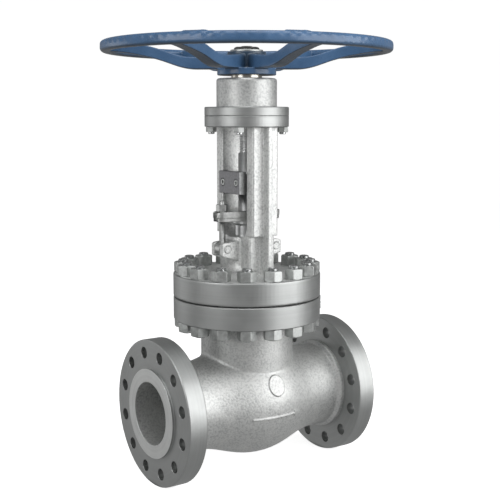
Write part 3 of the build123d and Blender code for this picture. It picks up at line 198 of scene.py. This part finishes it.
def machined(name, axis, base=(0.44, 0.45, 0.445), rough=(0.42, 0.50), marks=0.16):
    """Turned steel: fine rings on faces and bands on rims, with faint stains."""
    material, tree, shader = new_material(name)
    vector, _ = lathe_vector(tree, axis)
    rings = noise(tree, 0.8 * MM, 2.0, vector)
    bands = noise(tree, 6 * MM, 1.0, vector)
    stains = noise(tree, 30 * MM, 4.0)
    lighter = tuple(min(1.0, c * 1.05) for c in base)
    darker = tuple(c * 0.93 for c in base)
    plain = ramp(tree, bands, 0.35, 0.65, darker, lighter)
    stained = ramp(tree, stains, 0.42, 0.60, darker, base)
    colour = mix(tree, between(tree, stains, 0.3, 0.7, 0.2, 0.6), plain, stained)
    shader.inputs["Metallic"].default_value = 1.0
    relief = bump(tree, rings, 0.12 * MM, strength=marks)
    wire(tree, shader, colour, between(tree, stains, 0.3, 0.7, *rough), relief)
    return material


def metal(name, base, rough, metallic=1.0, size=4 * MM, relief=0.15 * MM, strength=0.4):
    """Plain worked metal with an uneven finish."""
    material, tree, shader = new_material(name)
    blotches = noise(tree, size, 4.0)
    specks = noise(tree, size / 5, 2.0)
    darker = tuple(c * 0.84 for c in base)
    lighter = tuple(min(1.0, c * 1.08) for c in base)
    colour = ramp(tree, blotches, 0.35, 0.65, darker, lighter)
    shader.inputs["Metallic"].default_value = metallic
    skin = bump(tree, specks, relief, strength=strength)
    wire(tree, shader, colour, between(tree, blotches, 0.3, 0.7, *rough), skin)
    return material


def blue_enamel(name):
    """Thick blue enamel over a cast wheel, with pits, paler on the edges as wear and a painted highlight, and
    painted shade underneath and round the hub.
    """
    material, tree, shader = new_material(name)
    skin = noise(tree, 9 * MM, 3.0)
    pits = noise(tree, 2.5 * MM, 3.0)
    tone = noise(tree, 60 * MM, 2.0)
    main = ramp(tree, tone, 0.35, 0.65, (0.050, 0.118, 0.235), (0.070, 0.150, 0.285))
    pale = ramp(tree, pits, 0.3, 0.7, (0.26, 0.38, 0.52), (0.38, 0.50, 0.63))
    # The edges are paler: partly worn enamel, partly a painted highlight.
    edge = tree.nodes.new("ShaderNodeNewGeometry").outputs["Pointiness"]
    on_edge = between(tree, edge, 0.55, 0.64, 0.0, 0.5)
    edge_wear_and_highlight = maths(tree, "MULTIPLY", on_edge, between(tree, skin, 0.35, 0.6, 0.2, 1.0))
    # The enamel gets painted shade on the faces that look down and round the hub.
    facing = tree.nodes.new("ShaderNodeSeparateXYZ")
    tree.links.new(tree.nodes.new("ShaderNodeNewGeometry").outputs["Normal"], facing.inputs[0])
    painted_underside_shade = between(tree, facing.outputs["Z"], -0.25, -0.8, 0.0, 0.85)
    _, radius = lathe_vector(tree, "Z")
    painted_hub_shade = between(tree, radius, 75 * MM, 46 * MM, 0.0, 0.8)
    painted_shade_colour = ramp(tree, skin, 0.35, 0.65, (0.012, 0.020, 0.026), (0.022, 0.040, 0.058))
    painted = mix(tree, maths(tree, "MAXIMUM", painted_underside_shade, painted_hub_shade), main, painted_shade_colour)
    colour = mix(tree, edge_wear_and_highlight, painted, pale)
    shader.inputs["Metallic"].default_value = 0.0
    shader.inputs["Coat Weight"].default_value = 0.35
    shader.inputs["Coat Roughness"].default_value = 0.15
    relief = bump(tree, skin, 1.2 * MM, strength=0.35)
    relief = bump(tree, pits, 0.4 * MM, relief, 0.3)
    wire(tree, shader, colour, between(tree, pits, 0.3, 0.7, 0.26, 0.42), relief)
    return material


def braided_graphite(name):
    """Black plaited packing with a dull shine."""
    material, tree, shader = new_material(name)
    weave = tree.nodes.new("ShaderNodeTexVoronoi")
    weave.inputs["Scale"].default_value = 1 / (3 * MM)
    tree.links.new(tree.nodes.new("ShaderNodeTexCoord").outputs["Object"], weave.inputs["Vector"])
    strands = weave.outputs["Distance"]
    colour = ramp(tree, strands, 0.1, 0.8, (0.03, 0.03, 0.032), (0.008, 0.008, 0.009))
    wire(tree, shader, colour, 0.55, bump(tree, strands, 0.6 * MM, strength=0.6))
    return material


CAST = cast_silver("cast_silver_paint")
CAST_BRIGHT = cast_silver("cast_silver_bright", (0.76, 0.77, 0.76), (0.48, 0.49, 0.49))
FLANGE_X = machined("machined_flange_pipe", "X")
FLANGE_Z = machined("machined_flange_stem", "Z")
BRIGHT_STEEL = machined("bright_turned_steel", "Z", (0.58, 0.59, 0.59), (0.28, 0.38), 0.2)
NUTS = metal("satin_nuts", (0.54, 0.555, 0.545), (0.38, 0.50), size=9 * MM, strength=0.2)
STUDS = metal("satin_studs", (0.55, 0.56, 0.56), (0.16, 0.28), size=8 * MM, strength=0.2)
DARK_PLATE = metal("phosphated_plate", (0.25, 0.25, 0.26), (0.40, 0.5), metallic=0.9, size=6 * MM)
BRONZE = machined("turned_bronze", "Z", (0.60, 0.44, 0.24), (0.2, 0.32), 0.3)
SLEEVE_METAL = machined("turned_sleeve", "Z", (0.66, 0.63, 0.57), (0.18, 0.28), 0.3)
BLUE = blue_enamel("blue_enamel")
SERRATED = machined("serrated_joint_face", "X", (0.74, 0.75, 0.74), (0.46, 0.54), 0.6)
GLAND_METAL = metal("milled_gland", (0.60, 0.61, 0.60), (0.34, 0.46), size=7 * MM, strength=0.2)
OILED_NUT = metal("oiled_nut", (0.13, 0.13, 0.125), (0.28, 0.42), metallic=0.9)
PLATE_END = metal("sawn_plate_end", (0.55, 0.56, 0.56), (0.34, 0.44), size=5 * MM)
GRAPHITE = braided_graphite("braided_graphite")
GASKET = metal("gasket_windings", (0.035, 0.035, 0.04), (0.5, 0.6), metallic=0.3, size=2 * MM)
BALL_STEEL = metal("polished_bearing_steel", (0.78, 0.78, 0.79), (0.06, 0.12), size=10 * MM, strength=0.1)
PLATE_METAL = metal(
    "blank_plate_metal", (0.60, 0.61, 0.61), (0.30, 0.36), size=22 * MM, relief=0.05 * MM, strength=0.1
)

# By material slot, and then by node where one node differs from the rest of its slot.
FINISH = {
    "cast_steel": CAST,
    "machined_steel": FLANGE_Z,
    "fastener_steel": NUTS,
    "stainless": BRIGHT_STEEL,
    "dark_steel": DARK_PLATE,
    "bronze": BRONZE,
    "graphite": GRAPHITE,
    "gasket": GASKET,
    "wheel_paint": BLUE,
    "bearing_steel": BALL_STEEL,
}
SPECIAL = {
    "inlet_end_flange": FLANGE_X,
    "outlet_end_flange": FLANGE_X,
    "body_flange": FLANGE_Z,
    "bonnet_studs": STUDS,
    "housing_studs": STUDS,
    "yoke_sleeve": SLEEVE_METAL,
    "rating_plate": PLATE_METAL,
    "gland_flange": GLAND_METAL,
    "inlet_side_eyebolt": GLAND_METAL,
    "outlet_side_eyebolt": GLAND_METAL,
    "inlet_side_eyebolt_nut": GLAND_METAL,
    "outlet_side_eyebolt_nut": GLAND_METAL,
    "inlet_side_eyebolt_pin": CAST,
    "outlet_side_eyebolt_pin": CAST,
    "handwheel_nut": OILED_NUT,
}


def finish_of(node):
    """The node's own finish where it has one, and its material slot's finish otherwise."""
    return SPECIAL.get(node, FINISH[slot_of_node[node]])


for name, cad_object in nodes.items():
    cad_object.data.materials.clear()
    cad_object.data.materials.append(finish_of(name))


# ---------------------------------------------------------------- mesh helpers
def placed(name, data):
    """A new object in the scene that holds this mesh, lamp or camera."""
    made = bpy.data.objects.new(name, data)
    bpy.context.scene.collection.objects.link(made)
    return made


def mesh_from(work, name):
    """Turns a bmesh into a mesh of this name, and frees the bmesh."""
    made = bpy.data.meshes.new(name)
    work.to_mesh(made)
    work.free()
    return made


def stand_in_for(mesh_data, node, material=None):
    """Shows this mesh in place of a CAD node, riding on the same body."""
    piece = placed(node + "_look", mesh_data)
    mesh_data.materials.clear()
    mesh_data.materials.append(material or finish_of(node))
    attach(piece, body_of_node[node])
    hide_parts(node)
    return piece


def welded(node):
    """The node's mesh as a bmesh, with neighbouring faces joined at their points."""
    work = bmesh.new()
    work.from_mesh(nodes[node].data)
    bmesh.ops.remove_doubles(work, verts=work.verts, dist=WELD_GAP)
    return work


def shade(mesh_data, angle):
    """Smooth shading with creases only where faces meet at more than this many degrees."""
    mesh_data.polygons.foreach_set("use_smooth", [True] * len(mesh_data.polygons))
    mesh_data.set_sharp_from_angle(angle=math.radians(angle))


def rounded(node, width, skip=lambda edge: False, material=None):
    """The node with its sharp edges rounded over `width` metres."""
    work = welded(node)
    bmesh.ops.dissolve_limit(
        work,
        angle_limit=FLAT_ANGLE,
        use_dissolve_boundaries=False,
        verts=work.verts,
        edges=work.edges,
    )
    sharp = [
        edge
        for edge in work.edges
        if edge.is_manifold and edge.calc_face_angle() > SHARP_ANGLE and not skip(edge)
    ]
    bmesh.ops.bevel(
        work,
        geom=sharp,
        offset=width,
        offset_type="OFFSET",
        segments=2,
        profile=0.5,
        affect="EDGES",
        clamp_overlap=False,
    )
    made = mesh_from(work, node + "_look")
    shade(made, 40)
    piece = stand_in_for(made, node, material)
    weighted = piece.modifiers.new("flat_faces", "WEIGHTED_NORMAL")
    weighted.keep_sharp = True
    return piece


def remeshed(work, name, voxel, smoothing):
    """Casts a bmesh as one skin: voxels join what overlaps, and smoothing rounds the edges."""
    rough = mesh_from(work, name)
    holder = placed(name, rough)
    skin = holder.modifiers.new("skin", "REMESH")
    skin.mode = "VOXEL"
    skin.voxel_size = voxel
    skin.adaptivity = 0.0
    soften = holder.modifiers.new("soften", "SMOOTH")
    soften.factor = 0.5
    soften.iterations = smoothing
    depsgraph = bpy.context.evaluated_depsgraph_get()
    made = bpy.data.meshes.new_from_object(holder.evaluated_get(depsgraph))
    bpy.data.objects.remove(holder)
    bpy.data.meshes.remove(rough)
    made.polygons.foreach_set("use_smooth", [True] * len(made.polygons))
    return made


def moved_points(mesh_data, change):
    """Moves the mesh's points: change takes and returns an array of places."""
    places = np.empty(len(mesh_data.vertices) * 3)
    mesh_data.vertices.foreach_get("co", places)
    places = change(places.reshape(-1, 3))
    mesh_data.vertices.foreach_set("co", places.ravel())
    mesh_data.update()


def face_middles(mesh_data):
    """The middle of each face, one row each."""
    middles = np.empty(len(mesh_data.polygons) * 3)
    mesh_data.polygons.foreach_get("center", middles)
    return middles.reshape(-1, 3)


def face_directions(mesh_data):
    """The direction each face looks in, one row each."""
    directions = np.empty(len(mesh_data.polygons) * 3)
    mesh_data.polygons.foreach_get("normal", directions)
    return directions.reshape(-1, 3)


def other_finish(mesh_data, material, chosen):
    """Gives the chosen faces another material."""
    mesh_data.materials.append(material)
    slots = np.zeros(len(mesh_data.polygons), dtype=np.int32)
    mesh_data.polygons.foreach_get("material_index", slots)
    slots[chosen] = len(mesh_data.materials) - 1
    mesh_data.polygons.foreach_set("material_index", slots)


def add_lathe(work, outline, centre, steps):
    """Adds a closed turned shape, from (radius, height) pairs that start and end on the axis."""
    middle_x, middle_y = centre
    turn = [2 * math.pi * k / steps for k in range(steps)]
    rows = []
    for radius, height in outline:
        if radius == 0:
            rows.append([work.verts.new((middle_x, middle_y, height))])
            continue
        ring = [(middle_x + radius * math.cos(a), middle_y + radius * math.sin(a), height) for a in turn]
        rows.append([work.verts.new(place) for place in ring])
    for low, high in zip(rows, rows[1:]):
        for k in range(steps):
            n = (k + 1) % steps
            corners = [low[k % len(low)], low[n % len(low)], high[n % len(high)], high[k % len(high)]]
            work.faces.new(list(dict.fromkeys(corners)))


def thread_outline(radius, low, ridges, pitch, depth):
    """(radius, height) pairs of so many ridges round a rod, from low upwards."""
    outline = []
    for ridge in range(ridges):
        base = low + ridge * pitch
        outline += [
            (radius, base + 0.15 * pitch),
            (radius, base + 0.40 * pitch),
            (radius - depth, base + 0.65 * pitch),
            (radius - depth, base + 0.90 * pitch),
        ]
    return outline


def domed_end(radius, height, direction):
    """(radius, height) pairs from the rod's rim to its middle, over a low dome facing up (1) or down (-1)."""
    rise = DOME_RISE * radius
    return [
        (radius * math.cos(a), height - direction * rise * (1 - math.sin(a)))
        for a in map(math.radians, (0, 25, 50, 70))
    ] + [(0, height)]


# ---------------------------------------------------------------- rounded carried-over pieces
SEAM_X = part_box("outlet_barrel")[1].x
SEAM_HEIGHTS = (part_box("neck")[0].z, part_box("neck")[1].z)
SEAM_GAP = 0.05 * MM
PIPE_BORE_RADIUS = 76.2 * MM
FACE_DEPTH = 1 * MM  # a face's middle may be this far from the plane or radius that picks it
RIM_DEPTH = 4 * MM  # the turned rim of a round flange is this deep


def on_seam(edge):
    """True for an edge in the planes where the casting's nodes meet."""
    ends = [v.co for v in edge.verts]
    gaps = [[abs(abs(p.x) - SEAM_X) for p in ends], [abs(p.x) for p in ends]]
    gaps += [[abs(p.z - height) for p in ends] for height in SEAM_HEIGHTS]
    return any(max(pair) < SEAM_GAP for pair in gaps)


for name in ("inlet_barrel", "outlet_barrel", "neck"):
    rounded(name, 1.6 * MM, on_seam)
rounded("body_flange", 0.6 * MM, on_seam)

JOINT_FACE_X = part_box("outlet_end_flange")[1].x
for name in ("inlet_end_flange", "outlet_end_flange"):
    flange = rounded(name, 0.9 * MM, on_seam).data
    middles = face_middles(flange)
    other_finish(flange, SERRATED, np.abs(middles[:, 0]) > JOINT_FACE_X - FACE_DEPTH)
    in_bore = np.hypot(middles[:, 1], middles[:, 2]) < PIPE_BORE_RADIUS + FACE_DEPTH
    faces_sideways = np.abs(face_directions(flange)[:, 0]) < 0.5
    other_finish(flange, CAST, in_bore & faces_sideways)

HOUSING_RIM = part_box("bearing_housing")[1].x - RIM_DEPTH
housing = rounded("bearing_housing", 0.9 * MM, material=CAST).data
middles = face_middles(housing)
other_finish(housing, FLANGE_Z, np.hypot(middles[:, 0], middles[:, 1]) > HOUSING_RIM)

ROUNDING = {
    0.9 * MM: ["upper_bonnet_nuts", "lower_bonnet_nuts"],
    1.2 * MM: ["gland_flange", "stem_clamp"],
    1.0 * MM: ["anti_rotation_plate"],
    0.6 * MM: ["inlet_side_eyebolt_nut", "outlet_side_eyebolt_nut", "housing_nuts", "handwheel_nut"],
    0.5 * MM: ["handwheel_washer", "gland_bushing", "inlet_side_eyebolt_pin", "outlet_side_eyebolt_pin"],
    0.35 * MM: ["grease_nipple", "plate_screws"],
}
looks = {name: rounded(name, width) for width, names in ROUNDING.items() for name in names}

PLATE_END_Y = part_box("anti_rotation_plate")[1].y
plate = looks["anti_rotation_plate"].data
other_finish(plate, PLATE_END, np.abs(face_middles(plate)[:, 1]) > PLATE_END_Y - FACE_DEPTH)

# ---------------------------------------------------------------- bonnet and yoke casting
YOKE_VOXEL = 1.6 * MM
CAST_SMOOTHING = 2
FLANGE_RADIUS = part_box("bonnet_yoke")[1].x
yoke_mesh = remeshed(welded("bonnet_yoke"), "bonnet_yoke_look", YOKE_VOXEL, CAST_SMOOTHING)
stand_in_for(yoke_mesh, "bonnet_yoke", CAST_BRIGHT)
# The rims of the bonnet flange and the round top flange are turned, and the rest is as cast.
middles = face_middles(yoke_mesh)
from_axis = np.hypot(middles[:, 0], middles[:, 1])
FLANGE_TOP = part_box("upper_bonnet_nuts")[0].z
TOP_FLANGE_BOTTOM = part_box("housing_nuts")[1].z
turned_rim = (from_axis > FLANGE_RADIUS - RIM_DEPTH) & (middles[:, 2] < FLANGE_TOP + FACE_DEPTH)
turned_top = (middles[:, 2] > TOP_FLANGE_BOTTOM - FACE_DEPTH) & (from_axis > HOUSING_RIM)
other_finish(yoke_mesh, FLANGE_Z, turned_rim | turned_top)

# ---------------------------------------------------------------- handwheel
WHEEL_VOXEL = 1.8 * MM
wheel_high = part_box("handwheel")[1]
WHEEL_RADIUS = wheel_high.x
RIM_SECTION = 26.5 * MM
MARK_RELIEF = 2.5 * MM
RIM_MIDDLE_Z = wheel_high.z - MARK_RELIEF - RIM_SECTION / 2
GRIP_COUNT = 84
GRIP_DEPTH = 2.2 * MM
GRIP_INSET = 8 * MM  # how far in from the rim's outside the grips reach
GRIP_RISE = 9 * MM  # over this height, from just under the rim's middle, they reach full depth
GRIP_DRIFT, GRIP_DRIFTS = 0.6, 7  # the spacing wanders by this many radians, this often per turn


def with_grips(places):
    """Presses soft finger grips into the upper outside of the rim."""
    radius = np.hypot(places[:, 0], places[:, 1])
    turn = np.arctan2(places[:, 1], places[:, 0])
    height = places[:, 2] - RIM_MIDDLE_Z
    pressed = 0.5 + 0.5 * np.cos(turn * GRIP_COUNT + GRIP_DRIFT * np.sin(turn * GRIP_DRIFTS))
    outside = np.clip((radius - (WHEEL_RADIUS - GRIP_INSET)) / GRIP_INSET, 0, 1)
    upper = np.clip((height + 1 * MM) / GRIP_RISE, 0, 1)
    shrink = 1 - GRIP_DEPTH * pressed * outside * upper / np.maximum(radius, MM)
    moved = places.copy()
    moved[:, 0] *= shrink
    moved[:, 1] *= shrink
    return moved


wheel_mesh = remeshed(welded("handwheel"), "handwheel_look", WHEEL_VOXEL, CAST_SMOOTHING)
moved_points(wheel_mesh, with_grips)
stand_in_for(wheel_mesh, "handwheel")

# ---------------------------------------------------------------- studs, stem and eyebolts
# One ridge shows below the lower nuts and two above the upper nuts.
STUD_LOWER_RIDGES = 1
STUD_UPPER_RIDGES = 2
STUD_PITCH = 3.2 * MM
STUD_THREAD_DEPTH = 1.2 * MM
STUD_TIP_INSET = 0.6 * MM
STUD_RADIUS = 12.7 * MM
STUD_CIRCLE = 159 * MM
STUD_COUNT = 16
stud_low, stud_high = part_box("bonnet_studs")
stud_work = bmesh.new()
bottom = stud_low.z + DOME_RISE * STUD_RADIUS
top = stud_high.z - DOME_RISE * STUD_RADIUS
stud_outline = domed_end(STUD_RADIUS - STUD_TIP_INSET, stud_low.z, -1)[::-1]
stud_outline += thread_outline(STUD_RADIUS, bottom, STUD_LOWER_RIDGES, STUD_PITCH, STUD_THREAD_DEPTH)
thread_start = top - STUD_UPPER_RIDGES * STUD_PITCH
stud_outline += [(STUD_RADIUS - STUD_THREAD_DEPTH, thread_start)]
stud_outline += thread_outline(STUD_RADIUS, thread_start, STUD_UPPER_RIDGES, STUD_PITCH, STUD_THREAD_DEPTH)
stud_outline += domed_end(STUD_RADIUS - STUD_TIP_INSET, stud_high.z, 1)
for k in range(STUD_COUNT):
    angle = 2 * math.pi * (k + 0.5) / STUD_COUNT
    centre = (STUD_CIRCLE * math.cos(angle), STUD_CIRCLE * math.sin(angle))
    add_lathe(stud_work, stud_outline, centre, 32)
bmesh.ops.recalc_face_normals(stud_work, faces=stud_work.faces)
stud_mesh = mesh_from(stud_work, "bonnet_studs_look")
shade(stud_mesh, 50)
stand_in_for(stud_mesh, "bonnet_studs")


THREAD_DEPTH_SHARE = 0.35  # a thread's depth, as a share of its pitch
STEM_RADIUS = 18 * MM
STEM_CORE = 0.86
STEM_PITCH = 6 * MM
STEM_RIDGES = 42
STEM_THREAD_BOTTOM = 616.5 * MM
EYEBOLT_RADIUS = 8 * MM
EYEBOLT_CORE = 0.92
EYEBOLT_PITCH = 2 * MM
EYEBOLT_RIDGES = 1


def with_thread(node, centre_x, radius, core, low, high, ridges, pitch):
    """The node with a thread between two heights, over a rod that core makes thinner."""
    work = welded(node)
    for vertex in work.verts:
        if vertex.co.z > low:
            vertex.co.x = centre_x + (vertex.co.x - centre_x) * core
            vertex.co.y *= core
    thread = thread_outline(radius, low, ridges, pitch, THREAD_DEPTH_SHARE * pitch)
    outline = [(0, low)] + thread + [(0, high)]
    add_lathe(work, outline, (centre_x, 0), 40)
    bmesh.ops.recalc_face_normals(work, faces=work.faces)
    made = mesh_from(work, node + "_look")
    shade(made, 40)
    stand_in_for(made, node)


stem_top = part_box("stem")[1].z
stem_thread = (STEM_THREAD_BOTTOM, stem_top - 3 * MM, STEM_RIDGES, STEM_PITCH)
with_thread("stem", 0, STEM_RADIUS, STEM_CORE, *stem_thread)
for name in ("inlet_side_eyebolt", "outlet_side_eyebolt"):
    bolt_low, bolt_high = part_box(name)
    middle = (bolt_low.x + bolt_high.x) / 2
    tip_thread = (bolt_high.z - 2.5 * MM, bolt_high.z - 0.5 * MM, EYEBOLT_RIDGES, EYEBOLT_PITCH)
    with_thread(name, middle, EYEBOLT_RADIUS, EYEBOLT_CORE, *tip_thread)

# ---------------------------------------------------------------- blank plate and its rivets
RIVET_RADIUS = 2.2 * MM
RIVET_FLATTENING = 0.6
RIVET_TURN = math.radians(8.4)  # from the middle of the plate to each rivet, round the valve's axis
TAG_TURN = math.radians(-28)
TAG_OUTSIDE = FLANGE_RADIUS + 1.8 * MM
tag_low, tag_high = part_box("rating_plate")
tag_work = welded("rating_plate")
for turn in (TAG_TURN - RIVET_TURN, TAG_TURN + RIVET_TURN):
    seat = Matrix.Translation((TAG_OUTSIDE, 0, (tag_low.z + tag_high.z) / 2))
    place = Matrix.Rotation(turn, 4, "Z") @ seat @ Matrix.Diagonal((RIVET_FLATTENING, 1, 1, 1))
    bmesh.ops.create_uvsphere(tag_work, u_segments=18, v_segments=10, radius=RIVET_RADIUS, matrix=place)
tag_mesh = mesh_from(tag_work, "rating_plate_look")
shade(tag_mesh, 40)
stand_in_for(tag_mesh, "rating_plate")

# ---------------------------------------------------------------- floor, lights, camera
FLOOR_HALF = 9.0
BACKDROP_RADIUS = 8.5
FLOOR_GLOW = 0.8
BACKDROP_GLOW = 1.0
WORLD_LIGHT = 0.22
low, high = CAD_BOX


def glowing(mesh_data, name, colour, strength):
    """Gives the mesh a material that shines white; returns its shader."""
    material, _, shader = new_material(name)
    shader.inputs["Base Color"].default_value = (*colour, 1)
    shader.inputs["Emission Color"].default_value = (1, 1, 1, 1)
    shader.inputs["Emission Strength"].default_value = strength
    mesh_data.materials.append(material)
    return shader


floor_mesh = bpy.data.meshes.new("floor")
floor_corners = [(FLOOR_HALF * x, FLOOR_HALF * y, 0) for x, y in ((-1, -1), (1, -1), (1, 1), (-1, 1))]
floor_mesh.from_pydata(floor_corners, [], [(0, 1, 2, 3)])
floor = placed("floor", floor_mesh)
floor.location = (0, 0, low[2])
glowing(floor_mesh, "pale_floor", (0.93, 0.93, 0.93), FLOOR_GLOW).inputs["Roughness"].default_value = 0.9
floor.visible_diffuse = False
floor.visible_glossy = False

# A pale wall all round, which shows behind the valve and doesn't light it.
backdrop_work = bmesh.new()
bmesh.ops.create_icosphere(backdrop_work, subdivisions=4, radius=BACKDROP_RADIUS)
backdrop_mesh = mesh_from(backdrop_work, "backdrop")
backdrop = placed("backdrop", backdrop_mesh)
glowing(backdrop_mesh, "pale_backdrop", (0, 0, 0), BACKDROP_GLOW)
for ray in ("diffuse", "glossy", "transmission", "volume_scatter", "shadow"):
    setattr(backdrop, "visible_" + ray, False)

world = bpy.data.worlds.new("studio")
bpy.context.scene.world = world
world.use_nodes = True
background = world.node_tree.nodes["Background"]
background.inputs["Color"].default_value = (1, 1, 1, 1)
background.inputs["Strength"].default_value = WORLD_LIGHT

AIM = Vector((0, 0, (low[2] + high[2]) / 2))


def area_lamp(name, width, tall, power, place, rotation):
    """A soft rectangular light of so many watts, which the camera doesn't see."""
    data = bpy.data.lights.new(name, "AREA")
    data.shape = "RECTANGLE"
    data.size = width
    data.size_y = tall
    data.energy = power
    light = placed(name, data)
    light.location = place
    light.rotation_euler = rotation
    light.visible_camera = False


def softbox(name, azimuth, height, distance, width, tall, power):
    """An area lamp at an azimuth in degrees, which faces the middle of the valve."""
    angle = math.radians(azimuth)
    place = Vector((distance * math.cos(angle), distance * math.sin(angle), height))
    area_lamp(name, width, tall, power, place, (AIM - place).to_track_quat("-Z", "Y").to_euler())


softbox("left_softbox", azimuth=-172, height=1.3, distance=2.4, width=1.4, tall=2.0, power=24)
softbox("right_softbox", azimuth=-60, height=0.9, distance=2.4, width=2.6, tall=2.6, power=56)
softbox("top_softbox", azimuth=-110, height=2.6, distance=0.8, width=1.6, tall=1.6, power=22)
softbox("rear_softbox", azimuth=124, height=0.4, distance=3.0, width=1.6, tall=1.6, power=7)
# Light from the pale floor, thrown upwards.
area_lamp("floor_bounce", 3.0, 3.0, 4, (0, -0.6, low[2] + 5 * MM), (math.pi, 0, 0))

CAMERA_PLACE = (-1.353, -2.009, 0.7066)
CAMERA_DOWN = 7.83  # degrees below level
CAMERA_TURN = -34.15  # degrees from looking along +Y
camera_data = bpy.data.cameras.new("camera")
camera_data.sensor_width = 36
camera_data.lens = 70.5
camera = placed("camera", camera_data)
camera.location = CAMERA_PLACE
camera.rotation_euler = (math.radians(90 - CAMERA_DOWN), 0, math.radians(CAMERA_TURN))
bpy.context.scene.camera = camera
bpy.context.scene.view_settings.view_transform = "Standard"
